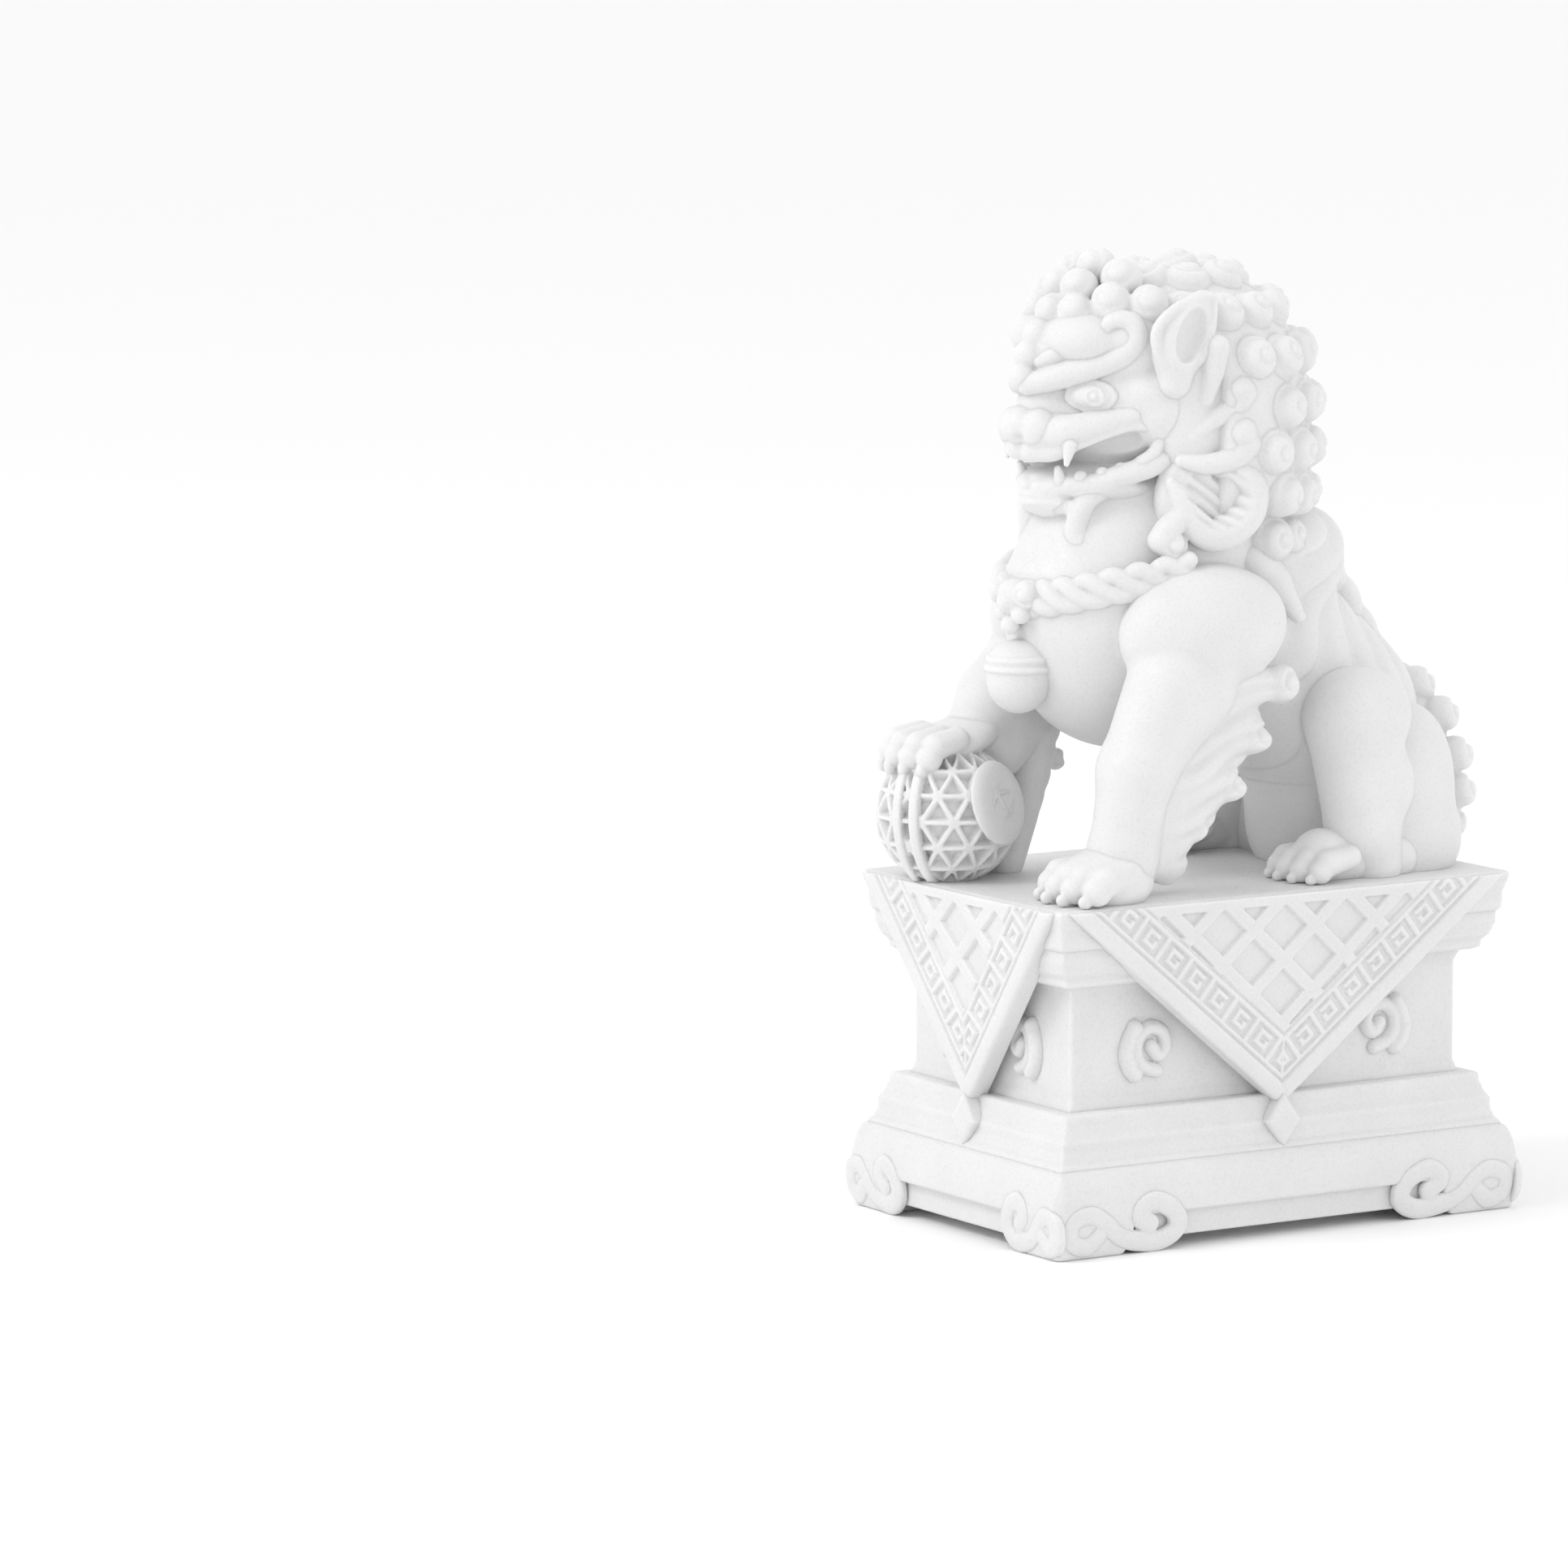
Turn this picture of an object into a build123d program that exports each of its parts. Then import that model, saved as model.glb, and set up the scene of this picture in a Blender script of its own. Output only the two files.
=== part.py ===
from build123d import *

# Foo dog statue: a guardian lion seated on a draped plinth, with one forepaw on a ball.
# Millimetres. The origin is the centre of the plinth's underside, the lion faces -Y,
# +X is its own left side and +Z is up.
import os
from math import cos, hypot, pi, radians, sin

os.makedirs("parts", exist_ok=True)

# ---------------------------------------------------------------- plinth sizes
PLINTH_WIDTH = 60.0
PLINTH_DEPTH = 90.0
EDGE_RADIUS = 1.2
FOOT_HEIGHT = 14.3
STEP_HEIGHT = 8.1
WAIST_HEIGHT = 20.7
CORNICE_HEIGHT = 6.4
SLAB_HEIGHT = 6.1
WAIST_INSET = 7.3

# Each moulding is a list of (share of its own height, outset from the plinth's outline).
FOOT_PROFILE = ((0, 0), (0.17, 0.25), (0.33, 0.6), (0.5, 0.8), (0.65, 0.5), (0.88, -0.35), (1, -1.5))
STEP_PROFILE = ((0, -2.1), (0.1, -2.4), (0.32, -2.95), (0.48, -2.95), (0.78, -4.1), (1, -4.4))
CORNICE_PROFILE = ((0, -4.1), (0.16, -4.1), (0.32, -3.2), (0.67, -2.45), (0.87, -2.55), (1, -2.2))
SLAB_PROFILE = ((0, -1.85), (0.5, -1.65), (0.88, -0.8), (1, -0.8))

# Bracket feet, with a sunk skirt between them.
FOOT_SIDE_LENGTH = 12.6
FOOT_FRONT_LENGTH = 10.5
SCROLL_SIDE_LENGTH = 24.6
SCROLL_FRONT_LENGTH = 14.8
SCROLL_HEIGHT = 6.8
SCROLL_RELIEF = 0.7
SKIRT_DEPTH = 1.2
SKIRT_HEIGHT = 6.0
SKIRT_LIFT = 0.8
LIFT_DEPTH = 2.4

# Cloth flaps: one triangle of altar cloth on each side, with a tab at its point.
FLAP_MARGIN = 2.2
FLAP_TOP_DROP = 0.4
FLAP_TOP_INSET = 0.45
FLAP_TIP_INSET = 2.2
FLAP_TIP_HEIGHT = 20.6
FLAP_THICKNESS = 1.8
FLAP_UNDERCUT = 1.7
TAB_WIDTH = 7.2
TAB_HEIGHT = 8.4
TAB_DROP = 2.0
TAB_INSET = 1.3
EMBLEM_RADIUS = 4.3
EMBLEM_RELIEF = 1.8
EMBLEM_SIDE_PITCH = 46.0
EMBLEM_FRONT_PITCH = 21.0

# ------------------------------------------------------------------ lion sizes
CHEST_HALF_WIDTH = 15.5
RUMP_HALF_WIDTH = 14.5
FORELEG_OUTSET = 6.3
FORELEG_RADIUS = 5.4
FEATHER_THICKNESS = 4.6
HINDLEG_OUTSET = 5.5
PAW_HALF_WIDTH = 7.0
PAW_HALF_LENGTH = 8.6
PAW_HEIGHT = 7.4
PAW_FRONT = -41.0
HIND_PAW_HALF_WIDTH = 5.3
HIND_PAW_HALF_LENGTH = 12.0
HIND_PAW_HEIGHT = 5.6
HIND_PAW_FRONT = 4.4
TOE_RADIUS = 2.5
SPINE_RADIUS = 4.2
SPINE_HALF_WIDTH = 7.5
TAIL_BACK = 48.6
TAIL_THICKNESS = 9.0
TAIL_MIDDLE = 19.5
TAIL_HALF_WIDTH = 12.2
TAIL_HALF_HEIGHT = 14.5
TAIL_KNOB_RADIUS = 3.2
BALL_RADIUS = 11.5
BALL_SINK = 1.1
BALL_X = -13.3
BALL_Y = -37.6
RIBBON_WIDTH = 3.2
RIBBON_PROUD = 0.7
NECK_HEIGHT = 58.4
MANE_CENTRE_HEIGHT = 76.8
MANE_CENTRE_Y = -2.5
MANE_RADIUS = 22.4
MANE_DROP = 23.0
CURL_RADIUS = 3.3
CURL_PROUD = 2.2
CURL_PITCH = 7.0
CROWN_ANGLE = radians(50)
HEAD_RADIUS = 15.5
MUZZLE_FRONT = -32.2
MUZZLE_LEVEL = -5.0
MUZZLE_LENGTH = 17.0
MUZZLE_FRONT_HALF = 8.6
MUZZLE_BACK_HALF = 12.6
MUZZLE_HEIGHT = 7.6
JAW_HEIGHT = 5.6
MOUTH_GAP = 2.0
NOSE_RADIUS = 2.6
NOSE_WIDTH = 10.6
EYE_RADIUS = 2.8
BROW_LENGTH = 14.0
BROW_HEIGHT = 5.6
BROW_THICKNESS = 5.6
EAR_RADIUS = 4.2
EAR_LENGTH = 12.0
BEARD_Y = -23.0
BEARD_FOOT = 52.0
COLLAR_Y = -8.0
COLLAR_LEVEL = 48.4
COLLAR_HALF_DEPTH = 24.4
COLLAR_THICKNESS = 2.6
CLASP_RADIUS = 4.6
CLASP_THICKNESS = 1.7
CLASP_LEVEL = 45.6
BELL_DIAMETER = 10.3
BELL_CAP_HEIGHT = 5.6
BELL_LEVEL = 33.0

# ---------------------------------------------------------- heights and placings
foot_top = FOOT_HEIGHT
step_top = foot_top + STEP_HEIGHT
waist_top = step_top + WAIST_HEIGHT
cornice_top = waist_top + CORNICE_HEIGHT
deck = cornice_top + SLAB_HEIGHT
half_width = PLINTH_WIDTH / 2
half_depth = PLINTH_DEPTH / 2
foreleg_x = CHEST_HALF_WIDTH + FORELEG_OUTSET
hindleg_x = RUMP_HALF_WIDTH + HINDLEG_OUTSET
ball_centre = Vector(BALL_X, BALL_Y, deck + BALL_RADIUS - BALL_SINK)
ball_top = deck + 2 * BALL_RADIUS - BALL_SINK
mane_centre = Vector(0, MANE_CENTRE_Y, deck + MANE_CENTRE_HEIGHT)
deck_middle = Vector(0, 0, deck)

# The four sides of the plinth, drawn as seen from outside: the plane's z axis points
# outwards, its y axis points up, and half_span is half the side's length.
SIDES = {
    "front": (Plane((0, -half_depth, 0), x_dir=(1, 0, 0), z_dir=(0, -1, 0)), half_width),
    "back": (Plane((0, half_depth, 0), x_dir=(-1, 0, 0), z_dir=(0, 1, 0)), half_width),
    "left": (Plane((half_width, 0, 0), x_dir=(0, 1, 0), z_dir=(1, 0, 0)), half_depth),
    "right": (Plane((-half_width, 0, 0), x_dir=(0, -1, 0), z_dir=(-1, 0, 0)), half_depth),
}


def moulding(profile, bottom, height):
    """A four-sided moulded course of the plinth."""
    with BuildPart() as course:
        for share, outset in profile:
            with BuildSketch(Plane.XY.offset(bottom + share * height)):
                RectangleRounded(PLINTH_WIDTH + 2 * outset, PLINTH_DEPTH + 2 * outset, EDGE_RADIUS)
        loft(ruled=True)
    return course.part


def limb(stations):
    """A smooth limb through level oval stations: (x, y, height over the deck, x half, y half)."""
    with BuildPart() as member:
        for x, y, height, x_half, y_half in stations:
            with BuildSketch(Plane((x, y, deck + height))):
                Ellipse(x_half, y_half)
        loft()
    return member.part


def ball_chain(centre, beads):
    """Balls that run into each other: (x, y, height over the centre, radius)."""
    with BuildPart() as chain:
        for x, y, height, radius in beads:
            with Locations(centre + Vector(x, y, height)):
                Sphere(radius)
    return chain.part


def paw_pad(middle, x_half, y_half, height, toe_radius):
    """A flat-soled paw with rounded top edges and four toes along its front."""
    with BuildPart() as pad:
        with BuildSketch(Plane(middle)):
            RectangleRounded(2 * x_half, 2 * y_half, 0.7 * x_half)
        extrude(amount=height)
        fillet(pad.edges().group_by(Axis.Z)[-1], 0.4 * height)
        toe_pitch = 2 * (x_half - toe_radius) / 3
        with Locations(middle + Vector(0, toe_radius - y_half, 0.9 * toe_radius)):
            with GridLocations(toe_pitch, 1, 4, 1):
                Sphere(toe_radius)
    return pad.part


def cut_away(*neighbours):
    """Take the space of pieces that are already made out of the piece being built."""
    for neighbour in neighbours:
        add(neighbour.part, mode=Mode.SUBTRACT)


def save(piece, name):
    """Label the solids of a finished piece and write them as its own file."""
    export_step(Compound(piece.part.solids(), label=name), f"parts/{name}.step")


# Everything of the lion that rests on the plinth is cut level with the slab's top.
with BuildPart() as under_deck:
    Box(2 * PLINTH_WIDTH, 2 * PLINTH_DEPTH, deck, align=(Align.CENTER, Align.CENTER, Align.MIN))

# --------------------------------------------------------------- plinth: foot
foot_block = moulding(FOOT_PROFILE, 0, FOOT_HEIGHT)
with BuildPart() as plinth_foot:
    add(foot_block)
    for face, half_span in SIDES.values():
        is_long = half_span == half_depth
        scroll_length = SCROLL_SIDE_LENGTH if is_long else SCROLL_FRONT_LENGTH
        foot_length = FOOT_SIDE_LENGTH if is_long else FOOT_FRONT_LENGTH
        with BuildSketch(face.offset(-SKIRT_DEPTH)):
            with Locations((0, SKIRT_HEIGHT / 2)):
                Rectangle(2 * (half_span - scroll_length), SKIRT_HEIGHT)
        extrude(amount=2 * SKIRT_DEPTH + 1, mode=Mode.SUBTRACT)
        with BuildSketch(face.offset(-LIFT_DEPTH)):
            with Locations((0, SKIRT_LIFT / 2)):
                Rectangle(2 * (half_span - foot_length), SKIRT_LIFT)
        extrude(amount=2 * LIFT_DEPTH, mode=Mode.SUBTRACT)
save(plinth_foot, "plinth_foot")

# ------------------------------------------------- plinth: cloud scrolls on the feet
with BuildPart() as foot_scrolls:
    for face, half_span in SIDES.values():
        scroll_length = SCROLL_SIDE_LENGTH if half_span == half_depth else SCROLL_FRONT_LENGTH
        eye_radius = SCROLL_HEIGHT / 2
        for side in (-1, 1):
            outer_eye = side * (half_span - eye_radius - EDGE_RADIUS)
            inner_eye = side * (half_span - scroll_length + eye_radius)
            middle = (outer_eye + inner_eye) / 2
            with BuildSketch(face.offset(-SKIRT_DEPTH)):
                for eye in (outer_eye, inner_eye):
                    with Locations((eye, SKIRT_LIFT + eye_radius)):
                        Circle(eye_radius)
                with Locations((middle, SKIRT_LIFT + eye_radius)):
                    Rectangle(abs(outer_eye - inner_eye), eye_radius)
            extrude(amount=SKIRT_DEPTH + SCROLL_RELIEF + max(outset for _, outset in FOOT_PROFILE))
    add(foot_block, mode=Mode.SUBTRACT)
    cut_away(plinth_foot)
save(foot_scrolls, "foot_scrolls")

# ------------------------------------------- plinth: step, waist, cornice and slab
with BuildPart() as plinth_step:
    add(moulding(STEP_PROFILE, foot_top, STEP_HEIGHT))
save(plinth_step, "plinth_step")

with BuildPart() as plinth_waist:
    with BuildSketch(Plane.XY.offset(step_top)):
        RectangleRounded(PLINTH_WIDTH - 2 * WAIST_INSET, PLINTH_DEPTH - 2 * WAIST_INSET, EDGE_RADIUS)
    extrude(amount=WAIST_HEIGHT)
save(plinth_waist, "plinth_waist")

with BuildPart() as plinth_cornice:
    add(moulding(CORNICE_PROFILE, waist_top, CORNICE_HEIGHT))
save(plinth_cornice, "plinth_cornice")

with BuildPart() as plinth_slab:
    add(moulding(SLAB_PROFILE, cornice_top, SLAB_HEIGHT))
save(plinth_slab, "plinth_slab")

# ------------------------------------------------------ cloth flaps and their tabs
flap_top = deck - FLAP_TOP_DROP
flap_height = flap_top - FLAP_TIP_HEIGHT
flaps = []


def flap_triangle(half_span, trim):
    """The flap's outline in the plane of its side, taken in by trim along its slanting edges."""
    half = half_span - FLAP_MARGIN
    slant = hypot(half, flap_height)
    Polygon(
        (half - trim * slant / flap_height, flap_top),
        (-half + trim * slant / flap_height, flap_top),
        (0, FLAP_TIP_HEIGHT + trim * slant / half),
        align=None,
    )


for side_name, (face, half_span) in SIDES.items():
    # The cloth leans in from the slab's edge to its point: this wedge is the air in front of it.
    with BuildPart() as lean:
        with BuildSketch(Plane(face.origin, x_dir=face.z_dir, z_dir=-face.x_dir)):
            Polygon(
                (-FLAP_TOP_INSET, flap_top),
                (-FLAP_TIP_INSET, FLAP_TIP_HEIGHT),
                (-FLAP_TIP_INSET, 0),
                (FLAP_THICKNESS, 0),
                (FLAP_THICKNESS, flap_top),
                align=None,
            )
        extrude(amount=half_span, both=True)
    with BuildPart() as cloth_flap:
        with BuildSketch(face.offset(-FLAP_TIP_INSET - FLAP_THICKNESS)):
            flap_triangle(half_span, 0)
        extrude(amount=FLAP_TIP_INSET + FLAP_THICKNESS)
        with BuildSketch(face.offset(-WAIST_INSET)):
            flap_triangle(half_span, FLAP_UNDERCUT)
        extrude(amount=WAIST_INSET - FLAP_TIP_INSET)
        cut_away(plinth_slab, plinth_cornice, plinth_waist, plinth_step, plinth_foot, lean)
    save(cloth_flap, f"cloth_flap_{side_name}")
    flaps.append(cloth_flap)

    tab_middle = FLAP_TIP_HEIGHT - TAB_DROP
    with BuildPart() as flap_tab:
        with BuildSketch(face.offset(-WAIST_INSET)):
            Polygon(
                (0, tab_middle + TAB_HEIGHT / 2),
                (-TAB_WIDTH / 2, tab_middle),
                (0, tab_middle - TAB_HEIGHT / 2),
                (TAB_WIDTH / 2, tab_middle),
                align=None,
            )
        extrude(amount=WAIST_INSET - TAB_INSET)
        cut_away(plinth_step, plinth_foot, plinth_waist, cloth_flap)
    save(flap_tab, f"flap_tab_{side_name}")

# --------------------------------------------------------- emblems on the waist
emblem_height = step_top + 0.44 * WAIST_HEIGHT
petal_radius = 0.42 * EMBLEM_RADIUS
with BuildPart() as waist_emblems:
    for face, half_span in SIDES.values():
        pitch = EMBLEM_SIDE_PITCH if half_span == half_depth else EMBLEM_FRONT_PITCH
        for side in (-1, 1):
            with BuildSketch(face.offset(-WAIST_INSET)):
                with Locations((side * pitch / 2, emblem_height)):
                    Circle(1.2 * petal_radius)
                    with PolarLocations(EMBLEM_RADIUS - petal_radius, 5, start_angle=90):
                        Circle(petal_radius)
            extrude(amount=EMBLEM_RELIEF)
    cut_away(*flaps)
save(waist_emblems, "waist_emblems")

# ----------------------------------------------------------------- lion: trunk
with BuildPart() as chest:
    add(limb((
        (0, -4.0, 20.6, 0.52 * CHEST_HALF_WIDTH, 12.0),
        (0, 3.0, 24.4, 0.86 * CHEST_HALF_WIDTH, 25.0),
        (0, 3.5, 30.4, 0.95 * CHEST_HALF_WIDTH, 31.5),
        (0, 1.5, 37.4, CHEST_HALF_WIDTH, 32.5),
        (0, -1.5, 45.4, CHEST_HALF_WIDTH, 31.0),
        (0, -3.0, 52.4, 0.96 * CHEST_HALF_WIDTH, 27.5),
        (0, -3.0, NECK_HEIGHT, 0.84 * CHEST_HALF_WIDTH, 23.0),
    )))
save(chest, "chest")

with BuildPart() as hindquarters:
    add(limb((
        (0, 30.0, 0, 0.85 * RUMP_HALF_WIDTH, 11.0),
        (0, 29.0, 8.4, 0.96 * RUMP_HALF_WIDTH, 15.5),
        (0, 26.5, 16.4, RUMP_HALF_WIDTH, 18.5),
        (0, 24.0, 24.4, RUMP_HALF_WIDTH, 19.5),
        (0, 23.0, 32.4, 0.9 * RUMP_HALF_WIDTH, 17.0),
        (0, 23.5, 37.4, 0.6 * RUMP_HALF_WIDTH, 12.0),
    )))
    cut_away(chest)
save(hindquarters, "hindquarters")

# Scalloped ridge of fur down the spine, from the nape to the tail.
spine_line = ((22.5, 55.0), (26.5, 49.5), (30.0, 44.0), (33.4, 38.5), (36.6, 33.0))
with BuildPart() as spine_ridge:
    for y, height in spine_line:
        with Locations((0, y, deck + height)):
            Cylinder(SPINE_RADIUS, 2 * SPINE_HALF_WIDTH, rotation=(0, 90, 0))
    cut_away(chest, hindquarters)
save(spine_ridge, "spine_ridge")

# ------------------------------------------------------------- lion: hind legs
with BuildPart() as left_haunch:
    add(limb((
        (hindleg_x - 3.5, 33.5, 0, 7.6, 9.5),
        (hindleg_x - 4.0, 33.5, 8.0, 9.0, 11.3),
        (hindleg_x - 4.5, 33.0, 17.0, 9.4, 11.6),
        (hindleg_x - 4.5, 32.0, 26.0, 8.2, 10.4),
        (hindleg_x - 5.0, 31.0, 33.0, 4.8, 6.4),
    )))
    cut_away(chest, hindquarters, spine_ridge)
save(left_haunch, "left_haunch")

with BuildPart() as left_thigh:
    add(limb((
        (hindleg_x, 20.5, 0, 5.0, 7.0),
        (hindleg_x, 20.5, 6.4, 5.6, 6.8),
        (hindleg_x, 21.0, 12.4, 6.8, 7.2),
        (hindleg_x, 20.6, 20.4, 7.4, 7.8),
        (hindleg_x - 0.5, 20.0, 27.4, 6.8, 7.2),
        (hindleg_x - 2.5, 20.0, 31.4, 4.0, 4.4),
    )))
    cut_away(chest, hindquarters, left_haunch)
save(left_thigh, "left_thigh")

with BuildPart() as left_hind_paw:
    add(paw_pad(
        Vector(hindleg_x, HIND_PAW_FRONT + HIND_PAW_HALF_LENGTH, deck),
        HIND_PAW_HALF_WIDTH, HIND_PAW_HALF_LENGTH, HIND_PAW_HEIGHT, 0.85 * TOE_RADIUS,
    ))
    cut_away(under_deck, left_thigh, left_haunch, hindquarters)
save(left_hind_paw, "left_hind_paw")

for piece, name in ((left_haunch, "haunch"), (left_thigh, "thigh"), (left_hind_paw, "hind_paw")):
    with BuildPart() as mirrored:
        mirror(piece.part, about=Plane.YZ)
    save(mirrored, f"right_{name}")

# ------------------------------------------------------------------ lion: tail
with BuildPart() as tail_plume:
    with BuildSketch(Plane.XZ.offset(-TAIL_BACK)):
        with Locations((0, deck + TAIL_MIDDLE)):
            Ellipse(TAIL_HALF_WIDTH - TAIL_KNOB_RADIUS, TAIL_HALF_HEIGHT)
        for side in (-1, 1):
            for x, height in ((0.5, 11.0), (0.9, 3.0), (0.86, -6.0)):
                knob_x = side * x * (TAIL_HALF_WIDTH - TAIL_KNOB_RADIUS)
                with Locations((knob_x, deck + TAIL_MIDDLE + height)):
                    Circle(TAIL_KNOB_RADIUS)
    extrude(amount=TAIL_THICKNESS)
    cut_away(chest, hindquarters, spine_ridge, left_haunch)
    mirrored_haunch = mirror(left_haunch.part, about=Plane.YZ, mode=Mode.PRIVATE)
    add(mirrored_haunch, mode=Mode.SUBTRACT)
save(tail_plume, "tail_plume")

# ---------------------------------------------------------- lion: left foreleg
with BuildPart() as left_foreleg:
    add(limb((
        (foreleg_x, -28.4, 5.0, FORELEG_RADIUS, FORELEG_RADIUS),
        (foreleg_x, -26.8, 10.4, 0.95 * FORELEG_RADIUS, FORELEG_RADIUS),
        (foreleg_x, -25.2, 20.4, FORELEG_RADIUS, 1.1 * FORELEG_RADIUS),
        (foreleg_x - 0.4, -20.0, 30.4, 1.2 * FORELEG_RADIUS, 10.0),
        (foreleg_x - 1.6, -11.5, 39.4, 1.35 * FORELEG_RADIUS, 13.4),
        (foreleg_x - 3.0, -8.5, 46.4, 1.2 * FORELEG_RADIUS, 11.0),
        (foreleg_x - 5.0, -6.5, 51.0, 0.7 * FORELEG_RADIUS, 6.0),
    )))
    cut_away(chest)
save(left_foreleg, "left_foreleg")

with BuildPart() as left_forepaw:
    add(paw_pad(
        Vector(foreleg_x, PAW_FRONT + PAW_HALF_LENGTH, deck),
        PAW_HALF_WIDTH, PAW_HALF_LENGTH, PAW_HEIGHT, TOE_RADIUS,
    ))
    cut_away(under_deck, left_foreleg)
save(left_forepaw, "left_forepaw")

# Three-lobed fur feather that stands off the back of the foreleg.
with BuildPart() as left_leg_feather:
    with BuildSketch(Plane.YZ.offset(foreleg_x - FEATHER_THICKNESS / 2 - 0.8)):
        Polygon(
            (-24.0, deck + 4.5), (-17.0, deck + 4.5), (-6.0, deck + 15.0), (-2.0, deck + 22.0),
            (4.0, deck + 30.5), (-14.0, deck + 36.0), (-22.0, deck + 24.0), align=None,
        )
        for y, height, radius in ((4.6, 32.0, 3.6), (-0.6, 23.6, 3.2), (-5.2, 16.6, 2.8)):
            with Locations((y, deck + height)):
                Circle(radius)
    extrude(amount=FEATHER_THICKNESS)
    cut_away(left_foreleg, chest)
save(left_leg_feather, "left_leg_feather")

# ------------------------------------------------------------ ball and its ribbon
with BuildPart() as brocade_ball:
    with Locations(ball_centre):
        Sphere(BALL_RADIUS)
    cut_away(under_deck)
save(brocade_ball, "brocade_ball")

with BuildPart() as ball_ribbon:
    for turn in ((0, 90, 20), (0, 0, 0)):
        with Locations(Location(ball_centre, turn)):
            Cylinder(BALL_RADIUS + RIBBON_PROUD, RIBBON_WIDTH)
    with Locations(ball_centre):
        Sphere(BALL_RADIUS, mode=Mode.SUBTRACT)
    cut_away(under_deck)
save(ball_ribbon, "ball_ribbon")

# --------------------------------------------------------- lion: right foreleg
paw_height = ball_top - deck
paw_middle = Vector(BALL_X - 0.7, BALL_Y - 0.6, ball_top - 0.45 * PAW_HEIGHT)
with BuildPart() as right_forepaw:
    add(paw_pad(paw_middle, PAW_HALF_WIDTH, PAW_HALF_LENGTH, 0.8 * PAW_HEIGHT, TOE_RADIUS))
    cut_away(brocade_ball, ball_ribbon)
save(right_forepaw, "right_forepaw")

with BuildPart() as right_foreleg:
    add(limb((
        (BALL_X - 2.0, BALL_Y + 8.5, paw_height - 3.0, 0.8 * FORELEG_RADIUS, 4.0),
        (BALL_X - 3.0, BALL_Y + 10.5, paw_height + 2.0, FORELEG_RADIUS, 6.0),
        (1.5 - foreleg_x, -21.0, 30.4, 1.1 * FORELEG_RADIUS, 9.0),
        (1.6 - foreleg_x, -11.5, 39.4, 1.35 * FORELEG_RADIUS, 13.4),
        (3.0 - foreleg_x, -8.5, 46.4, 1.2 * FORELEG_RADIUS, 11.0),
        (5.0 - foreleg_x, -6.5, 51.0, 0.7 * FORELEG_RADIUS, 6.0),
    )))
    cut_away(chest, brocade_ball, ball_ribbon, right_forepaw)
save(right_foreleg, "right_foreleg")

with BuildPart() as right_leg_feather:
    add(limb((
        (BALL_X - 2.5, -22.0, 0, 4.0, 5.5),
        (BALL_X - 3.0, -19.5, 10.4, 3.6, 6.5),
        (BALL_X - 4.5, -14.5, 20.4, 3.4, 9.0),
        (1.5 - foreleg_x, -8.0, 28.4, 3.2, 12.0),
        (2.0 - foreleg_x, -4.5, 34.4, 3.0, 12.0),
    )))
    with Locations((1.5 - foreleg_x, 5.5, deck + 32.0)):
        Sphere(3.6)
    cut_away(brocade_ball, ball_ribbon, right_forepaw, right_foreleg, chest)
save(right_leg_feather, "right_leg_feather")

# --------------------------------------------------------- lion: head and mane
head_centre = mane_centre + Vector(0, -10.5, 1.5)
with BuildPart() as head:
    with Locations(head_centre):
        Sphere(HEAD_RADIUS)
    cut_away(chest)
save(head, "head")

# The mane is a domed crown on a barrel that falls straight to the nape.
with BuildPart() as mane_core:
    with BuildSketch(Plane(mane_centre, x_dir=(1, 0, 0), z_dir=(0, -1, 0))):
        Circle(MANE_RADIUS)
        with Locations((0, -MANE_DROP / 2)):
            Rectangle(2 * MANE_RADIUS, MANE_DROP)
        with Locations((0, -2 * MANE_DROP)):
            Rectangle(4 * MANE_RADIUS, 2 * MANE_DROP, mode=Mode.SUBTRACT)
        with Locations((-2 * MANE_RADIUS, 0)):
            Rectangle(4 * MANE_RADIUS, 4 * MANE_RADIUS, mode=Mode.SUBTRACT)
    revolve(axis=Axis(mane_centre, (0, 0, 1)))
    with Locations(mane_centre + Vector(0, -0.36 * MANE_RADIUS, 0)):
        Box(
            3 * MANE_RADIUS, 2 * MANE_RADIUS, 2 * MANE_DROP,
            align=(Align.CENTER, Align.MAX, Align.MAX), mode=Mode.SUBTRACT,
        )
    cut_away(head, chest, spine_ridge)
save(mane_core, "mane_core")

# Snail curls: level rows over the crown, then staggered rows down the barrel at the back.
curl_reach = MANE_RADIUS - CURL_RADIUS + CURL_PROUD
crown_row_count = round(0.5 * pi * MANE_RADIUS / CURL_PITCH)
barrel_row_count = round(MANE_DROP / CURL_PITCH) - 1


def curl_places():
    """Curl centres and directions from the mane's centre; rows stop short of face and ears."""
    for row in range(crown_row_count + barrel_row_count):
        polar = min(row, crown_row_count) * 0.5 * pi / crown_row_count
        drop = max(0, row - crown_row_count) * CURL_PITCH
        in_row = max(1, round(2 * pi * MANE_RADIUS * sin(polar) / CURL_PITCH))
        for step in range(in_row):
            around = 2 * pi * (step + 0.5 * (row % 2)) / in_row
            outward = Vector(sin(polar) * sin(around), sin(polar) * cos(around), cos(polar))
            place = outward * curl_reach
            face_edge = -MANE_RADIUS if polar < CROWN_ANGLE else 0.25 * MANE_RADIUS
            off_head = (mane_centre + place - head_centre).length > HEAD_RADIUS + CURL_RADIUS
            if place.Y > face_edge and off_head:
                yield place - Vector(0, 0, drop), outward


with BuildPart() as mane_curls:
    for place, outward in curl_places():
        with Locations(Plane(mane_centre + place, z_dir=outward)):
            Sphere(CURL_RADIUS)
    cut_away(mane_core)
save(mane_curls, "mane_curls")

# ------------------------------------------------------------------ lion: face


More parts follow.
